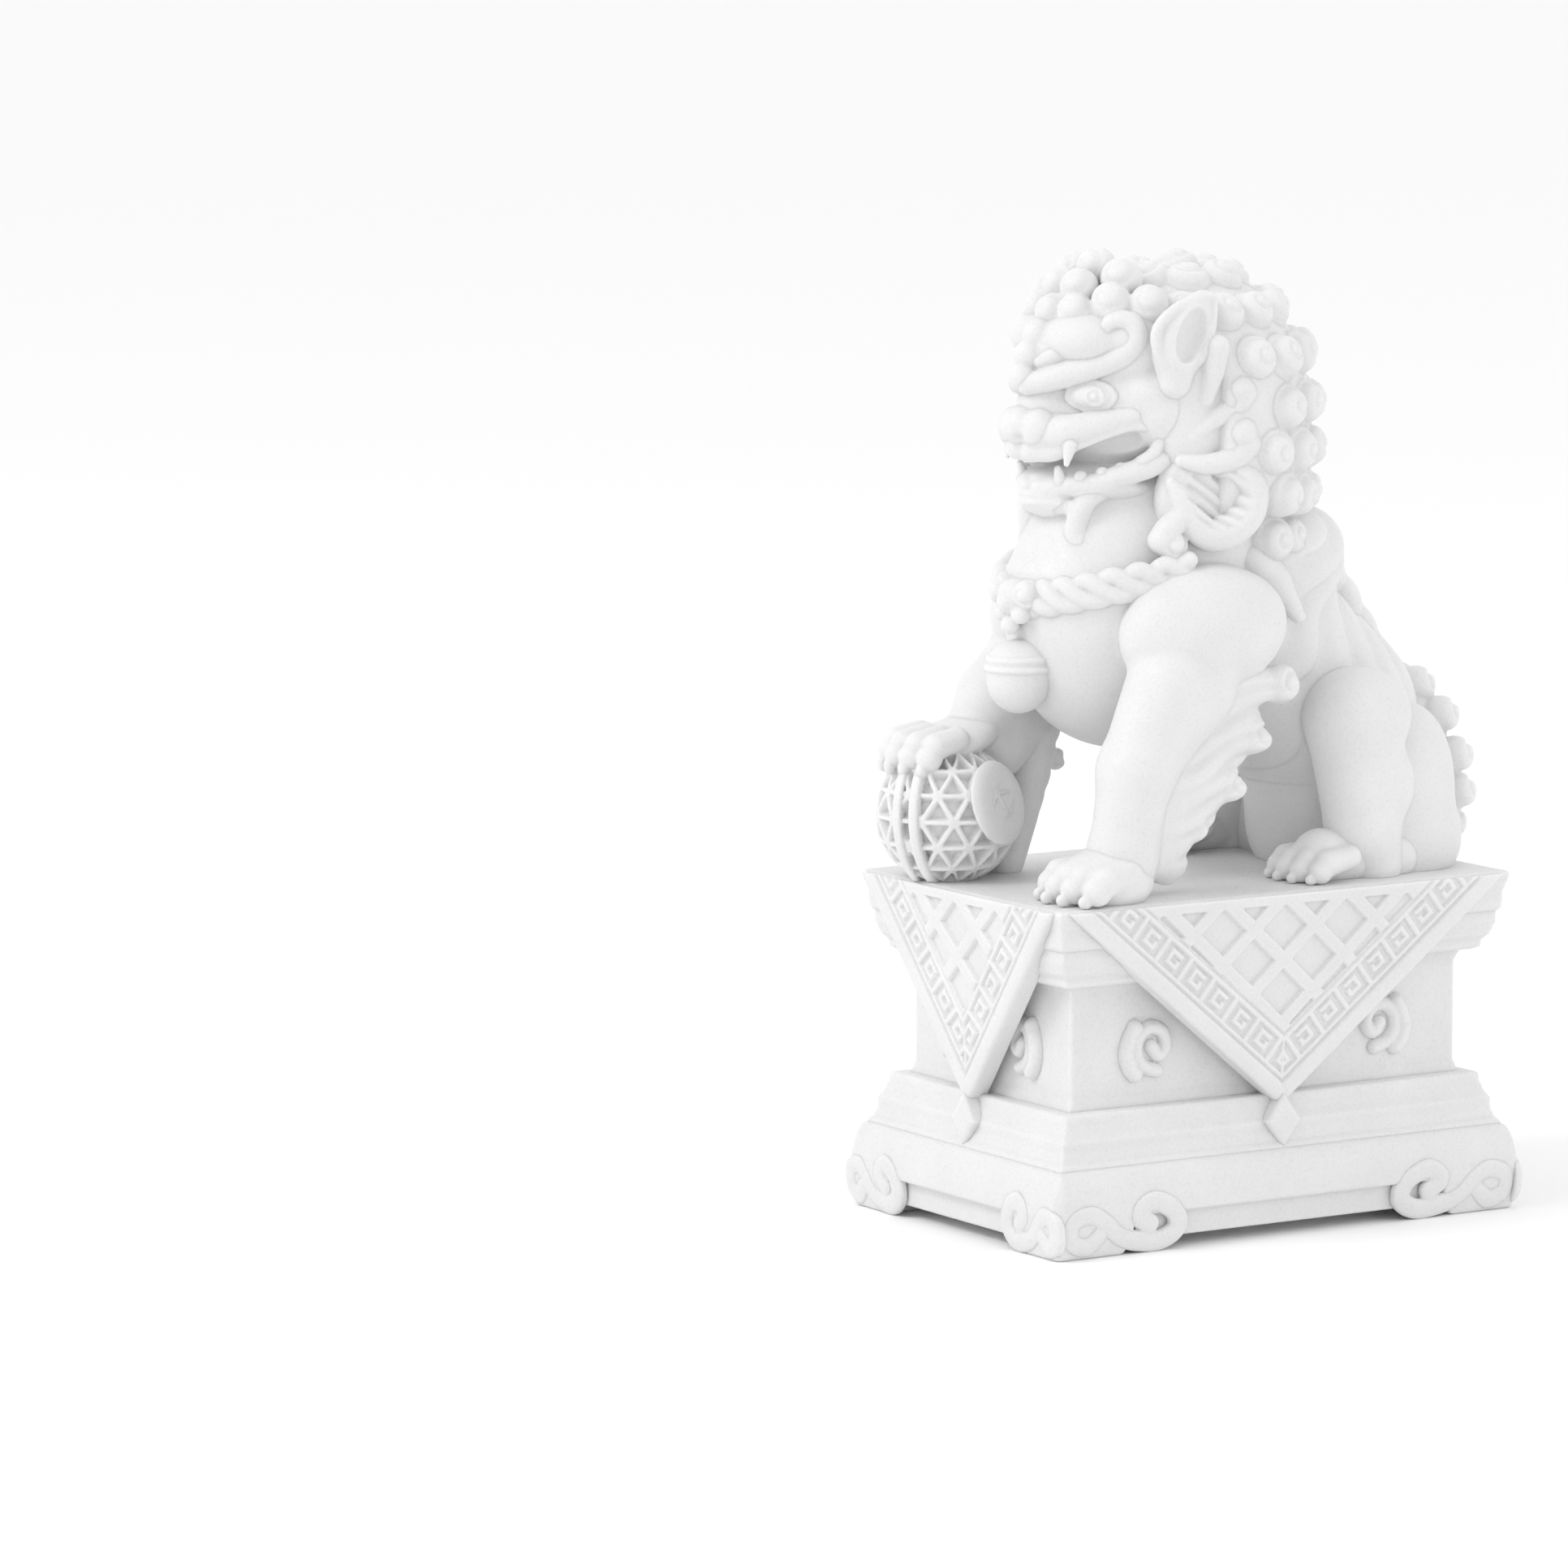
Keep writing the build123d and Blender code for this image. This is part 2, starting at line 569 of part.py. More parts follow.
def jaw_block(middle, front_half, back_half, length, height, edge_radius):
    """A blunt wedge, narrower at the front, with its front corners and rims rounded."""
    with BuildPart() as block:
        with BuildSketch(Plane(middle - Vector(0, 0, height / 2))):
            Polygon(
                (-front_half, -length / 2), (front_half, -length / 2),
                (back_half, length / 2), (-back_half, length / 2), align=None,
            )
        extrude(amount=height)
        fillet(block.edges().filter_by(Axis.Z).group_by(Axis.Y)[0], 0.5 * front_half)
        fillet(block.faces().sort_by(Axis.Z)[-1].edges(), edge_radius)
        fillet(block.faces().sort_by(Axis.Z)[0].edges(), edge_radius)
    return block.part


muzzle_middle = mane_centre + Vector(0, MUZZLE_FRONT - MANE_CENTRE_Y + MUZZLE_LENGTH / 2, MUZZLE_LEVEL)
with BuildPart() as muzzle:
    add(jaw_block(
        muzzle_middle, MUZZLE_FRONT_HALF, MUZZLE_BACK_HALF, MUZZLE_LENGTH, MUZZLE_HEIGHT, 0.25 * MUZZLE_HEIGHT,
    ))
    cut_away(head)
save(muzzle, "muzzle")

jaw_setback = 2.6
jaw_middle = muzzle_middle + Vector(0, jaw_setback, -(MUZZLE_HEIGHT + JAW_HEIGHT) / 2 - MOUTH_GAP)
with BuildPart() as lower_jaw:
    add(jaw_block(
        jaw_middle, 0.85 * MUZZLE_FRONT_HALF, 0.95 * MUZZLE_BACK_HALF, MUZZLE_LENGTH, JAW_HEIGHT, 0.25 * JAW_HEIGHT,
    ))
    cut_away(head, chest)
save(lower_jaw, "lower_jaw")

nose_middle = muzzle_middle + Vector(0, 0.4 + NOSE_RADIUS - MUZZLE_LENGTH / 2, MUZZLE_HEIGHT / 2)
with BuildPart() as nose:
    with Locations(nose_middle):
        Cylinder(NOSE_RADIUS, NOSE_WIDTH - 2 * NOSE_RADIUS, rotation=(0, 90, 0))
    for side in (-1, 1):
        with Locations(nose_middle + Vector(side * (NOSE_WIDTH / 2 - NOSE_RADIUS), 0, 0)):
            Sphere(NOSE_RADIUS)
    cut_away(muzzle, head)
save(nose, "nose")

with BuildPart() as left_eye:
    eye_middle = mane_centre + Vector(7.6, -22.2, 2.6)
    with Locations(Plane(eye_middle, z_dir=eye_middle - head_centre)):
        Sphere(EYE_RADIUS)
    cut_away(head)
save(left_eye, "left_eye")

with BuildPart() as left_brow:
    brow_middle = mane_centre + Vector(7.6, -20.6, 9.6)
    with Locations(Plane(brow_middle, x_dir=(10.0, 7.6, 5.4), z_dir=brow_middle - head_centre)):
        Box(BROW_LENGTH, BROW_HEIGHT, BROW_THICKNESS)
    fillet(left_brow.edges(), 0.35 * BROW_THICKNESS)
    cut_away(head, mane_core)
save(left_brow, "left_brow")

with BuildPart() as left_ear:
    with Locations(Location(mane_centre + Vector(17.0, -11.5, 6.5), (-18, 6, 0))):
        Cone(EAR_RADIUS, 0.9, EAR_LENGTH, align=(Align.CENTER, Align.CENTER, Align.MIN))
    cut_away(head, mane_core)
save(left_ear, "left_ear")

# Canines: the upper pair hangs from the lip, the lower pair stands on the jaw inside it.
lip_level = muzzle_middle.Z - MUZZLE_HEIGHT / 2
jaw_level = jaw_middle.Z + JAW_HEIGHT / 2
tooth_y = muzzle_middle.Y - MUZZLE_LENGTH / 2 + 4.0
with BuildPart() as upper_fangs:
    for side in (-1, 1):
        with Locations((side * 0.72 * MUZZLE_FRONT_HALF, tooth_y, lip_level)):
            Cone(0.5, 1.4, MOUTH_GAP, align=(Align.CENTER, Align.CENTER, Align.MAX))
save(upper_fangs, "upper_fangs")

with BuildPart() as lower_teeth:
    for side in (-1, 1):
        with Locations((side * 0.3 * MUZZLE_FRONT_HALF, tooth_y + jaw_setback, jaw_level)):
            Cone(1.2, 0.5, MOUTH_GAP, align=(Align.CENTER, Align.CENTER, Align.MIN))
save(lower_teeth, "lower_teeth")

# ---------------------------------------------------- lion: beard, locks and ruff
beard_height = jaw_middle.Z - JAW_HEIGHT / 2 - deck - BEARD_FOOT
with BuildPart() as beard:
    for x, y_set, radius in ((0, 4.0, 5.0), (-6.0, 0, 2.6), (6.0, 0, 2.6)):
        with Locations((x, BEARD_Y + y_set, deck + BEARD_FOOT)):
            Cylinder(radius, beard_height, align=(Align.CENTER, Align.CENTER, Align.MIN))
    with Locations((0, BEARD_Y + 3.0, deck + BEARD_FOOT)):
        Box(12.0, 4.0, beard_height, align=(Align.CENTER, Align.CENTER, Align.MIN))
    cut_away(chest, head)
save(beard, "beard")

with BuildPart() as left_ruff:
    add(ball_chain(mane_centre, (
        (19.4, -5.2, 5.6, 3.4), (20.0, -4.0, 0.8, 3.4), (20.0, -3.0, -4.0, 3.4),
    )))
    cut_away(mane_core, left_ear)
save(left_ruff, "left_ruff")

with BuildPart() as left_cheek_lock:
    add(ball_chain(mane_centre, (
        (18.4, -3.6, -10.6, 4.4), (19.0, -1.6, -15.4, 4.6), (18.0, -7.2, -18.4, 4.0), (15.4, -11.6, -19.6, 3.4),
    )))
    cut_away(mane_core, left_ruff, chest, left_foreleg)
save(left_cheek_lock, "left_cheek_lock")

pairs = (
    (left_eye, "eye"), (left_brow, "brow"), (left_ear, "ear"), (left_ruff, "ruff"),
    (left_cheek_lock, "cheek_lock"),
)
for piece, name in pairs:
    with BuildPart() as mirrored:
        mirror(piece.part, about=Plane.YZ)
    save(mirrored, f"right_{name}")

# ------------------------------------------------- lion: collar, clasp and bell
with BuildPart() as collar:
    with BuildSketch(Plane((0, COLLAR_Y, deck + COLLAR_LEVEL), x_dir=(1, 0, 0), z_dir=(0, -0.16, 1))):
        Ellipse(CHEST_HALF_WIDTH + 0.6 * COLLAR_THICKNESS, COLLAR_HALF_DEPTH + COLLAR_THICKNESS)
    extrude(amount=COLLAR_THICKNESS, both=True)
    # Only its front half shows; the mane hides the rest.
    with Locations((0, COLLAR_Y, deck)):
        Box(
            2 * PLINTH_WIDTH, PLINTH_DEPTH, 4 * NECK_HEIGHT,
            align=(Align.CENTER, Align.MIN, Align.CENTER), mode=Mode.SUBTRACT,
        )
    cut_away(chest, beard, left_foreleg, right_foreleg)
save(collar, "collar")

clasp_y = COLLAR_Y - COLLAR_HALF_DEPTH - COLLAR_THICKNESS
with BuildPart() as collar_clasp:
    with Locations((0, clasp_y, deck + CLASP_LEVEL)):
        Cylinder(CLASP_RADIUS, 2 * CLASP_THICKNESS, rotation=(90, 0, 0))
    cut_away(chest, collar, beard)
save(collar_clasp, "collar_clasp")

# A round bell with a cap ring, hung just under the clasp.
bell_y = clasp_y - CLASP_THICKNESS + BELL_DIAMETER / 2
with BuildPart() as bell:
    with Locations((0, bell_y, deck + BELL_LEVEL)):
        Sphere(BELL_DIAMETER / 2)
        Cylinder(0.42 * BELL_DIAMETER, BELL_CAP_HEIGHT, align=(Align.CENTER, Align.CENTER, Align.MIN))
    cut_away(chest, collar, collar_clasp)
save(bell, "bell")

with BuildPart() as left_shoulder_tassel:
    add(ball_chain(deck_middle, (
        (foreleg_x - 8.6, 3.4, 52.0, 3.6), (foreleg_x - 7.4, 6.4, 49.0, 3.4), (foreleg_x - 6.6, 8.6, 45.4, 2.4),
    )))
    cut_away(chest, left_foreleg, mane_core)
save(left_shoulder_tassel, "left_shoulder_tassel")

with BuildPart() as right_shoulder_tassel:
    mirror(left_shoulder_tassel.part, about=Plane.YZ)
    cut_away(right_foreleg)
save(right_shoulder_tassel, "right_shoulder_tassel")
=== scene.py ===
# Foo dog statue in white stone. Forms are carved as distance fields in
# millimetres, meshed with OpenVDB, and stand exactly where the CAD nodes stand.
import math

import bpy
import numpy as np
import openvdb as vdb
from mathutils import Matrix, Vector


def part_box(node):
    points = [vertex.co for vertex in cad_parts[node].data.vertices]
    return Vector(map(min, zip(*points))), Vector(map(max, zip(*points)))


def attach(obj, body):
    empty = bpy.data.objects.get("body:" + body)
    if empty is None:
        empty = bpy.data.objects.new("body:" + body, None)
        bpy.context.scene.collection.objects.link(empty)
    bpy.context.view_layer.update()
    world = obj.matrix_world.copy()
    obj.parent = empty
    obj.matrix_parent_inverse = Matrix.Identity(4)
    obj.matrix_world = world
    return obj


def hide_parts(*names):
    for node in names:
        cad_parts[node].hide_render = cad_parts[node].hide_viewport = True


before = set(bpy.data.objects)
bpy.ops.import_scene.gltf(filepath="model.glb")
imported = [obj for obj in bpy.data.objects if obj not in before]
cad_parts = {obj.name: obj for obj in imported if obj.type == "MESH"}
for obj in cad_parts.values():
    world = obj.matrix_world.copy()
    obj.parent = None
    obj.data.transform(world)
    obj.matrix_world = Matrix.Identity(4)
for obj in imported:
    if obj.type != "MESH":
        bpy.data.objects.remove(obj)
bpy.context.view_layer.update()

MM = 0.001
FINE = 0.25          # voxel of the lion, in millimetres
RELIEF_FINE = 0.18  # voxel of the cloth's relief
FAR = 40.0                                  # distance written where a form is absent
REACH = 2.5                                 # how far from a form its field is worked out
OVERLAP = 1.4                               # how far a member runs on under its neighbour
DIP = 0.3                                   # how steeply it sinks there


# ------------------------------------------------------------------ places from the frame
def box_mm(node):
    low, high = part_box(node)
    return np.array(low) / MM, np.array(high) / MM


deck = box_mm("plinth_slab")[1][2]
foot_low, foot_high = box_mm("plinth_foot")
ball_low, ball_high = box_mm("brocade_ball")
ball_radius = (ball_high[0] - ball_low[0]) / 2
ball = np.array(
    ((ball_low[0] + ball_high[0]) / 2, (ball_low[1] + ball_high[1]) / 2, ball_high[2] - ball_radius)
)
mane_low, mane_high = box_mm("mane_core")
mane_radius = (mane_high[0] - mane_low[0]) / 2
mane = np.array((0.0, mane_high[1] - mane_radius, mane_high[2] - mane_radius))
DECK = np.array((0.0, 0.0, deck))


# ------------------------------------------------------------------------ distance fields
def soft_min(a, b, k):
    if k <= 0:
        return np.minimum(a, b)
    h = np.maximum(k - np.abs(a - b), 0) / k
    return np.minimum(a, b) - h * h * (k * 0.25)


def soft_max(a, b, k):
    return -soft_min(-a, -b, k)


def turn_matrix(turn):
    """Rows take a point into the frame of a form turned by X, then Y, then Z degrees."""
    rx, ry, rz = (math.radians(t) for t in turn)
    matrix = Matrix.Rotation(rz, 3, "Z") @ Matrix.Rotation(ry, 3, "Y") @ Matrix.Rotation(rx, 3, "X")
    return np.array(matrix.transposed(), dtype=np.float32)


def oval_distance(x, y, z, centre, radii, turn=None):
    px, py, pz = x - centre[0], y - centre[1], z - centre[2]
    if turn is not None:
        m = turn_matrix(turn)
        px, py, pz = (m[i, 0] * px + m[i, 1] * py + m[i, 2] * pz for i in range(3))
    a, b, c = radii
    k0 = np.sqrt((px / a) ** 2 + (py / b) ** 2 + (pz / c) ** 2)
    k1 = np.sqrt((px / a ** 2) ** 2 + (py / b ** 2) ** 2 + (pz / c ** 2) ** 2)
    return k0 * (k0 - 1) / np.maximum(k1, 1e-4)


def rod_distance(x, y, z, a, b, ra, rb):
    a, b = np.asarray(a, float), np.asarray(b, float)
    ab = b - a
    px, py, pz = x - a[0], y - a[1], z - a[2]
    t = np.clip((px * ab[0] + py * ab[1] + pz * ab[2]) / max(ab @ ab, 1e-6), 0, 1)
    return (
        np.sqrt((px - t * ab[0]) ** 2 + (py - t * ab[1]) ** 2 + (pz - t * ab[2]) ** 2)
        - (ra + (rb - ra) * t)
    )


class Member:
    """One carved member: a field over its own window of the lattice shared by the lion.

    Forms are given from an origin, and side -1 carves the mirror image on the lion's right."""

    def __init__(self, node, low, high, origin=DECK, side=1, blend=1.0):
        self.node, self.side, self.blend = node, side, blend
        self.origin = np.asarray(origin, float)
        low, high = np.asarray(low, float) + self.origin, np.asarray(high, float) + self.origin
        if side < 0:
            low[0], high[0] = -high[0], -low[0]
        self.start = np.floor(low / FINE).astype(int)
        self.stop = np.ceil(high / FINE).astype(int) + 1
        axes = [np.arange(self.start[i], self.stop[i], dtype=np.float32) * FINE for i in range(3)]
        self.axes = [axes[0] * side - self.origin[0], axes[1] - self.origin[1], axes[2] - self.origin[2]]
        self.field = np.full([len(a) for a in axes], FAR, dtype=np.float32)

    def window(self, low, high):
        cuts = []
        for axis, lo, hi in zip(self.axes, low, high):
            inside = np.nonzero((axis >= lo) & (axis <= hi))[0]
            if len(inside) == 0:
                return None
            cuts.append(slice(inside[0], inside[-1] + 1))
        x, y, z = (axis[cut] for axis, cut in zip(self.axes, cuts))
        return tuple(cuts), x[:, None, None], y[None, :, None], z[None, None, :]

    def put(self, low, high, distance, k=1.0, cut=False):
        margin = REACH + k
        found = self.window(np.asarray(low) - margin, np.asarray(high) + margin)
        if found is None:
            return self
        cuts, x, y, z = found
        d = distance(x, y, z)
        old = self.field[cuts]
        self.field[cuts] = soft_max(old, -d, k) if cut else soft_min(old, d, k)
        return self

    def oval(self, centre, radii, turn=None, k=1.0, cut=False):
        centre = np.asarray(centre, float)
        reach = np.full(3, max(radii)) if turn is not None else np.asarray(radii, float)
        return self.put(
            centre - reach, centre + reach, lambda x, y, z: oval_distance(x, y, z, centre, radii, turn), k,
            cut,
        )

    def ball(self, centre, radius, k=1.0, cut=False):
        return self.oval(centre, (radius,) * 3, None, k, cut)

    def rod(self, a, b, ra, rb, k=1.0, cut=False):
        a, b = np.asarray(a, float), np.asarray(b, float)
        r = max(ra, rb)
        return self.put(
            np.minimum(a, b) - r, np.maximum(a, b) + r,
            lambda x, y, z: rod_distance(x, y, z, a, b, ra, rb), k, cut,
        )

    def roll(self, points, radii, k=1.0, cut=False, steps=5):
        """A rounded roll along a smooth curve through given points."""
        path, sizes = smooth_path(points, radii, steps)

        def distance(x, y, z):
            d = None
            for i in range(len(path) - 1):
                new = rod_distance(x, y, z, path[i], path[i + 1], sizes[i], sizes[i + 1])
                d = new if d is None else np.minimum(d, new)
            return d

        r = max(sizes)
        return self.put(path.min(0) - r, path.max(0) + r, distance, k, cut)

    def snail(self, centre, radius, outward, depth=0.35, pitch=2.4, spin=1, k=0.4, flat=1.0):
        """A ball of hair with a spiral groove that winds into its crown."""
        n = np.asarray(outward, float) / np.linalg.norm(outward)
        helper = np.array((0.0, 0.0, 1.0)) if abs(n[2]) < 0.9 else np.array((0.0, 1.0, 0.0))
        u = np.cross(helper, n)
        u /= np.linalg.norm(u)
        v = np.cross(n, u)
        c = np.asarray(centre, float)

        def distance(x, y, z):
            px, py, pz = x - c[0], y - c[1], z - c[2]
            pu = px * u[0] + py * u[1] + pz * u[2]
            pv = px * v[0] + py * v[1] + pz * v[2]
            pn = px * n[0] + py * n[1] + pz * n[2]
            rho = np.sqrt(pu * pu + pv * pv)
            angle = np.arctan2(pv, pu) * spin
            groove = 0.5 + 0.5 * np.cos(2 * np.pi * (rho / pitch - angle / (2 * np.pi)))
            fade = np.clip((pn / radius + 0.15) * 2, 0, 1) * np.clip(rho / (0.5 * pitch), 0, 1)
            return np.sqrt(rho * rho + (pn / flat) ** 2) - radius + depth * groove ** 3 * fade

        return self.put(c - radius, c + radius, distance, k)

    def comb(self, pattern, depth):
        """Sink the surface by depth wherever pattern(x, y, z) rises from 0 to 1."""
        x, y, z = self.axes
        self.field += depth * pattern(x[:, None, None], y[None, :, None], z[None, None, :]).astype(np.float32)
        return self


def smooth_path(points, radii, steps):
    """Catmull-Rom points through the given ones, with their radii."""
    p = np.asarray(points, float)
    r = np.full(len(p), radii, float) if np.isscalar(radii) else np.asarray(radii, float)
    q = np.column_stack((p, r))
    q = np.vstack((2 * q[0] - q[1], q, 2 * q[-1] - q[-2]))
    out = []
    for i in range(1, len(q) - 2):
        for t in np.arange(steps) / steps:
            out.append(0.5 * (
                2 * q[i] + (q[i + 1] - q[i - 1]) * t
                + (2 * q[i - 1] - 5 * q[i] + 4 * q[i + 1] - q[i + 2]) * t ** 2
                + (3 * q[i] - q[i - 1] - 3 * q[i + 1] + q[i + 2]) * t ** 3
            ))
    out.append(q[-2])
    out = np.array(out)
    return out[:, :3], np.maximum(out[:, 3], 0.2)


# -------------------------------------------------------------------------------- meshes
def mesh_field(name, field, start, voxel, place=None):
    """The closed surface where a field crosses zero, as an object in metres."""
    grid = vdb.FloatGrid(background=3.0 * voxel)
    grid.copyFromArray(np.ascontiguousarray(np.clip(field, -3 * voxel, 3 * voxel)))
    points, quads = grid.convertToQuads(isovalue=0.0)
    points = (points + np.asarray(start, float)) * voxel
    if place is not None:
        points = place(points)
    corners = points[quads]
    volume = np.einsum("ij,ij->i", corners[:, 0], np.cross(corners[:, 1], corners[:, 2])).sum()
    if volume < 0:
        quads = quads[:, ::-1]
    return mesh_object(name, points * MM, quads)


def mesh_object(name, points, quads):
    mesh = bpy.data.meshes.new(name)
    mesh.vertices.add(len(points))
    mesh.vertices.foreach_set("co", np.ascontiguousarray(points, dtype=np.float32).ravel())
    mesh.loops.add(len(quads) * 4)
    mesh.loops.foreach_set("vertex_index", np.ascontiguousarray(quads, dtype=np.int32).ravel())
    mesh.polygons.add(len(quads))
    mesh.polygons.foreach_set("loop_start", np.arange(0, len(quads) * 4, 4, dtype=np.int32))
    mesh.update(calc_edges=True)
    mesh.shade_smooth()
    piece = bpy.data.objects.new(name, mesh)
    bpy.context.scene.collection.objects.link(piece)
    return piece


def finish_piece(piece, node, material):
    piece.data.materials.append(material)
    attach(piece, "root")
    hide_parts(node)


# ------------------------------------------------------------------------------ materials
def stone(name, tone, grain_scale, pit_depth):
    """White marble-dust stone: faintly translucent, with fine grain and scattered glints."""
    material = bpy.data.materials.new(name)
    material.use_nodes = True
    nodes, links = material.node_tree.nodes, material.node_tree.links
    shader = nodes["Principled BSDF"]
    shader.subsurface_method = "RANDOM_WALK"
    shader.inputs["Subsurface Weight"].default_value = 0.55
    shader.inputs["Subsurface Radius"].default_value = (1.0, 0.92, 0.85)
    shader.inputs["Subsurface Scale"].default_value = 0.0011
    shader.inputs["IOR"].default_value = 1.48
    place = nodes.new("ShaderNodeTexCoord")

    def noise(scale, detail, roughness=0.55):
        node = nodes.new("ShaderNodeTexNoise")
        node.inputs["Scale"].default_value = scale
        node.inputs["Detail"].default_value = detail
        node.inputs["Roughness"].default_value = roughness
        links.new(place.outputs["Object"], node.inputs["Vector"])
        return node.outputs["Fac"]

    def ramp(source, stops):
        node = nodes.new("ShaderNodeValToRGB")
        while len(node.color_ramp.elements) < len(stops):
            node.color_ramp.elements.new(0.5)
        for element, (position, colour) in zip(node.color_ramp.elements, stops):
            element.position = position
            element.color = (*colour, 1)
        links.new(source, node.inputs["Fac"])
        return node.outputs["Color"]

    cloud = ramp(noise(90, 4), (
        (0.3, tuple(c * 0.955 for c in tone)), (0.7, tone),
    ))
    speck = ramp(noise(grain_scale, 2, 0.7), ((0.34, (0.9,) * 3), (0.5, (1.0,) * 3)))
    mix = nodes.new("ShaderNodeMix")
    mix.data_type = "RGBA"
    mix.blend_type = "MULTIPLY"
    mix.inputs["Factor"].default_value = 0.55
    links.new(cloud, mix.inputs["A"])
    links.new(speck, mix.inputs["B"])
    links.new(mix.outputs["Result"], shader.inputs["Base Color"])
    gloss = ramp(
        noise(grain_scale * 0.6, 2, 0.6), ((0.3, (0.62,) * 3), (0.62, (0.48,) * 3), (0.7, (0.26,) * 3))
    )
    links.new(gloss, shader.inputs["Roughness"])
    coarse = nodes.new("ShaderNodeBump")
    coarse.inputs["Strength"].default_value = 0.5
    coarse.inputs["Distance"].default_value = pit_depth * 3
    links.new(noise(420, 3), coarse.inputs["Height"])
    fine = nodes.new("ShaderNodeBump")
    fine.inputs["Strength"].default_value = 0.6
    fine.inputs["Distance"].default_value = pit_depth
    links.new(noise(grain_scale, 3, 0.65), fine.inputs["Height"])
    links.new(coarse.outputs["Normal"], fine.inputs["Normal"])
    links.new(fine.outputs["Normal"], shader.inputs["Normal"])
    return material


lion_stone = stone("lion_stone_white", (0.775, 0.77, 0.775), 2300, 0.00005)
plinth_stone = stone("plinth_stone_white", (0.765, 0.76, 0.765), 2000, 0.00006)
cloth_stone = stone("cloth_stone_white", (0.77, 0.765, 0.77), 2300, 0.00004)


# ============================================================================== the lion
members = []


def member(node, low, high, **settings):
    made = Member(node, low, high, **settings)
    members.append(made)
    return made


def strands(along, across, pitch, sharp=2):
    """Hair grooves: 0 on a strand's crown, 1 in the groove, spaced by pitch across it."""
    return (0.5 + 0.5 * np.cos(2 * np.pi * across / pitch)) ** sharp * along


def fade(value, low, high):
    """0 below low, 1 above high, smooth between."""
    t = np.clip((value - low) / (high - low), 0, 1)
    return t * t * (3 - 2 * t)


# ------------------------------------------------------------------------ chest and back
chest = member("chest", (-22, -38, 14), (22, 40, 74), blend=1.2)
chest.oval((0, -11.5, 38.5), (15.6, 20.0, 17.5), (8, 0, 0))
chest.rod((0, 6, 43.5), (0, 27, 24), 15.2, 15.6, k=6)
chest.oval((0, -5, 54), (14.8, 22.0, 12.0), k=5)
chest.rod((0, -12.5, 62), (0, -17.0, 46.5), 12.0, 15.8, k=4)
for side in (-1, 1):
    chest.oval((side * 8.5, 13.5, 50.5), (8.5, 10.5, 9.0), (30, 0, 0), k=4)     # shoulder blades
    chest.oval((side * 8.8, -5.0, 54.0), (9.0, 12.0, 8.5), k=3)


def flank_hair(x, y, z):
    slope = (z - 40) * 0.72 + (y - 18) * 0.70
    across = (z - 40) * 0.34 - (y - 18) * 0.30 + 0.5 * np.abs(x) + 1.1 * np.sin(0.16 * slope + 0.1 * z)
    zone = fade(y, 6, 13) * fade(np.abs(x), 4.5, 8) * (1 - fade(y, 32, 38)) * fade(z, 24, 31)
    return strands(zone, across, 3.3)


chest.comb(flank_hair, 0.9)

hind = member("hindquarters", (-21, 8, -1), (21, 48, 46), blend=2.5)
hind.oval((0, 28.5, 14), (13.8, 14.5, 21.5))
hind.oval((0, 29, 4), (14.5, 12.0, 9), k=4)
hind.oval((0, 21.5, 26), (15.8, 12, 12), k=5)

# ------------------------------------------------------------------------------ hind legs
for side, word in ((1, "left"), (-1, "right")):
    haunch = member(f"{word}_haunch", (2, 14, -1), (30, 50, 40), side=side, blend=1.0)
    haunch.oval((14.0, 31.4, 9.5), (8.6, 10.4, 17.5), (-10, 0, 0))
    haunch.oval((15.2, 34.0, 4.0), (7.8, 8.2, 7.0), k=4)

    thigh = member(f"{word}_thigh", (6, 8, -1), (31, 34, 38), side=side, blend=0.6)
    thigh.rod((18.6, 19.6, 25.2), (20.4, 20.4, 8.0), 7.6, 5.9)
    thigh.oval((18.2, 21.6, 26.0), (7.8, 8.4, 7.4), k=3)
    thigh.oval((20.0, 24.6, 14.5), (5.4, 5.4, 7.0), k=2.5)
    thigh.rod((20.4, 20.8, 8.0), (20.4, 22.4, 2.0), 5.6, 5.0, k=2)

    hind_paw = member(f"{word}_hind_paw", (10, 0, -1), (30, 42, 11), side=side, blend=0.6)
    hind_paw.rod((20.2, 27, 2.6), (20.0, 12.5, 3.6), 3.8, 4.6)
    hind_paw.ball((20.6, 35.4, 2.4), 2.2, k=0.3)
    for i, x in enumerate((15.6, 18.6, 21.8, 24.6)):
        reach = (0.8, 0, 0.2, 1.6)[i]
        hind_paw.rod((x, 13.5 + reach, 3.9), (x + (x - 20) * 0.12, 8.6 + reach, 3.2), 1.9, 2.2, k=0.8)
        hind_paw.ball((x + (x - 20) * 0.14, 7.2 + reach, 2.0), 2.0, k=0.5)
        hind_paw.oval((x + (x - 20) * 0.15, 5.4 + reach, 0.9), (0.8, 1.1, 0.9), k=0.3)

spine = member("spine_ridge", (-11, 10, 22), (11, 46, 66), blend=0.35)
spine_stops = (
    (18.6, 57.8), (22.6, 54.2), (26.4, 49.6), (30.0, 44.6), (33.6, 39.4), (37.2, 34.2), (40.2, 29.4)
)
for i, (y, h) in enumerate(spine_stops):
    width = 8.6 - 0.35 * i
    for lobe in (-1, 0, 1):
        spine.oval(
            (lobe * width * 0.56, y - 0.9 - 1.0 * abs(lobe), h + 0.3 - 1.8 * abs(lobe)),
            (width * 0.42, 2.5, 4.6), (24, 0, lobe * 14), k=0.2,
        )


# ----------------------------------------------------------------------------------- tail
tail = member("tail_plume", (-16, 32, -1), (16, 56, 40), blend=0.6)
tail.oval((0, 43.6, 17), (9.6, 5.8, 14.5), (6, 0, 0))


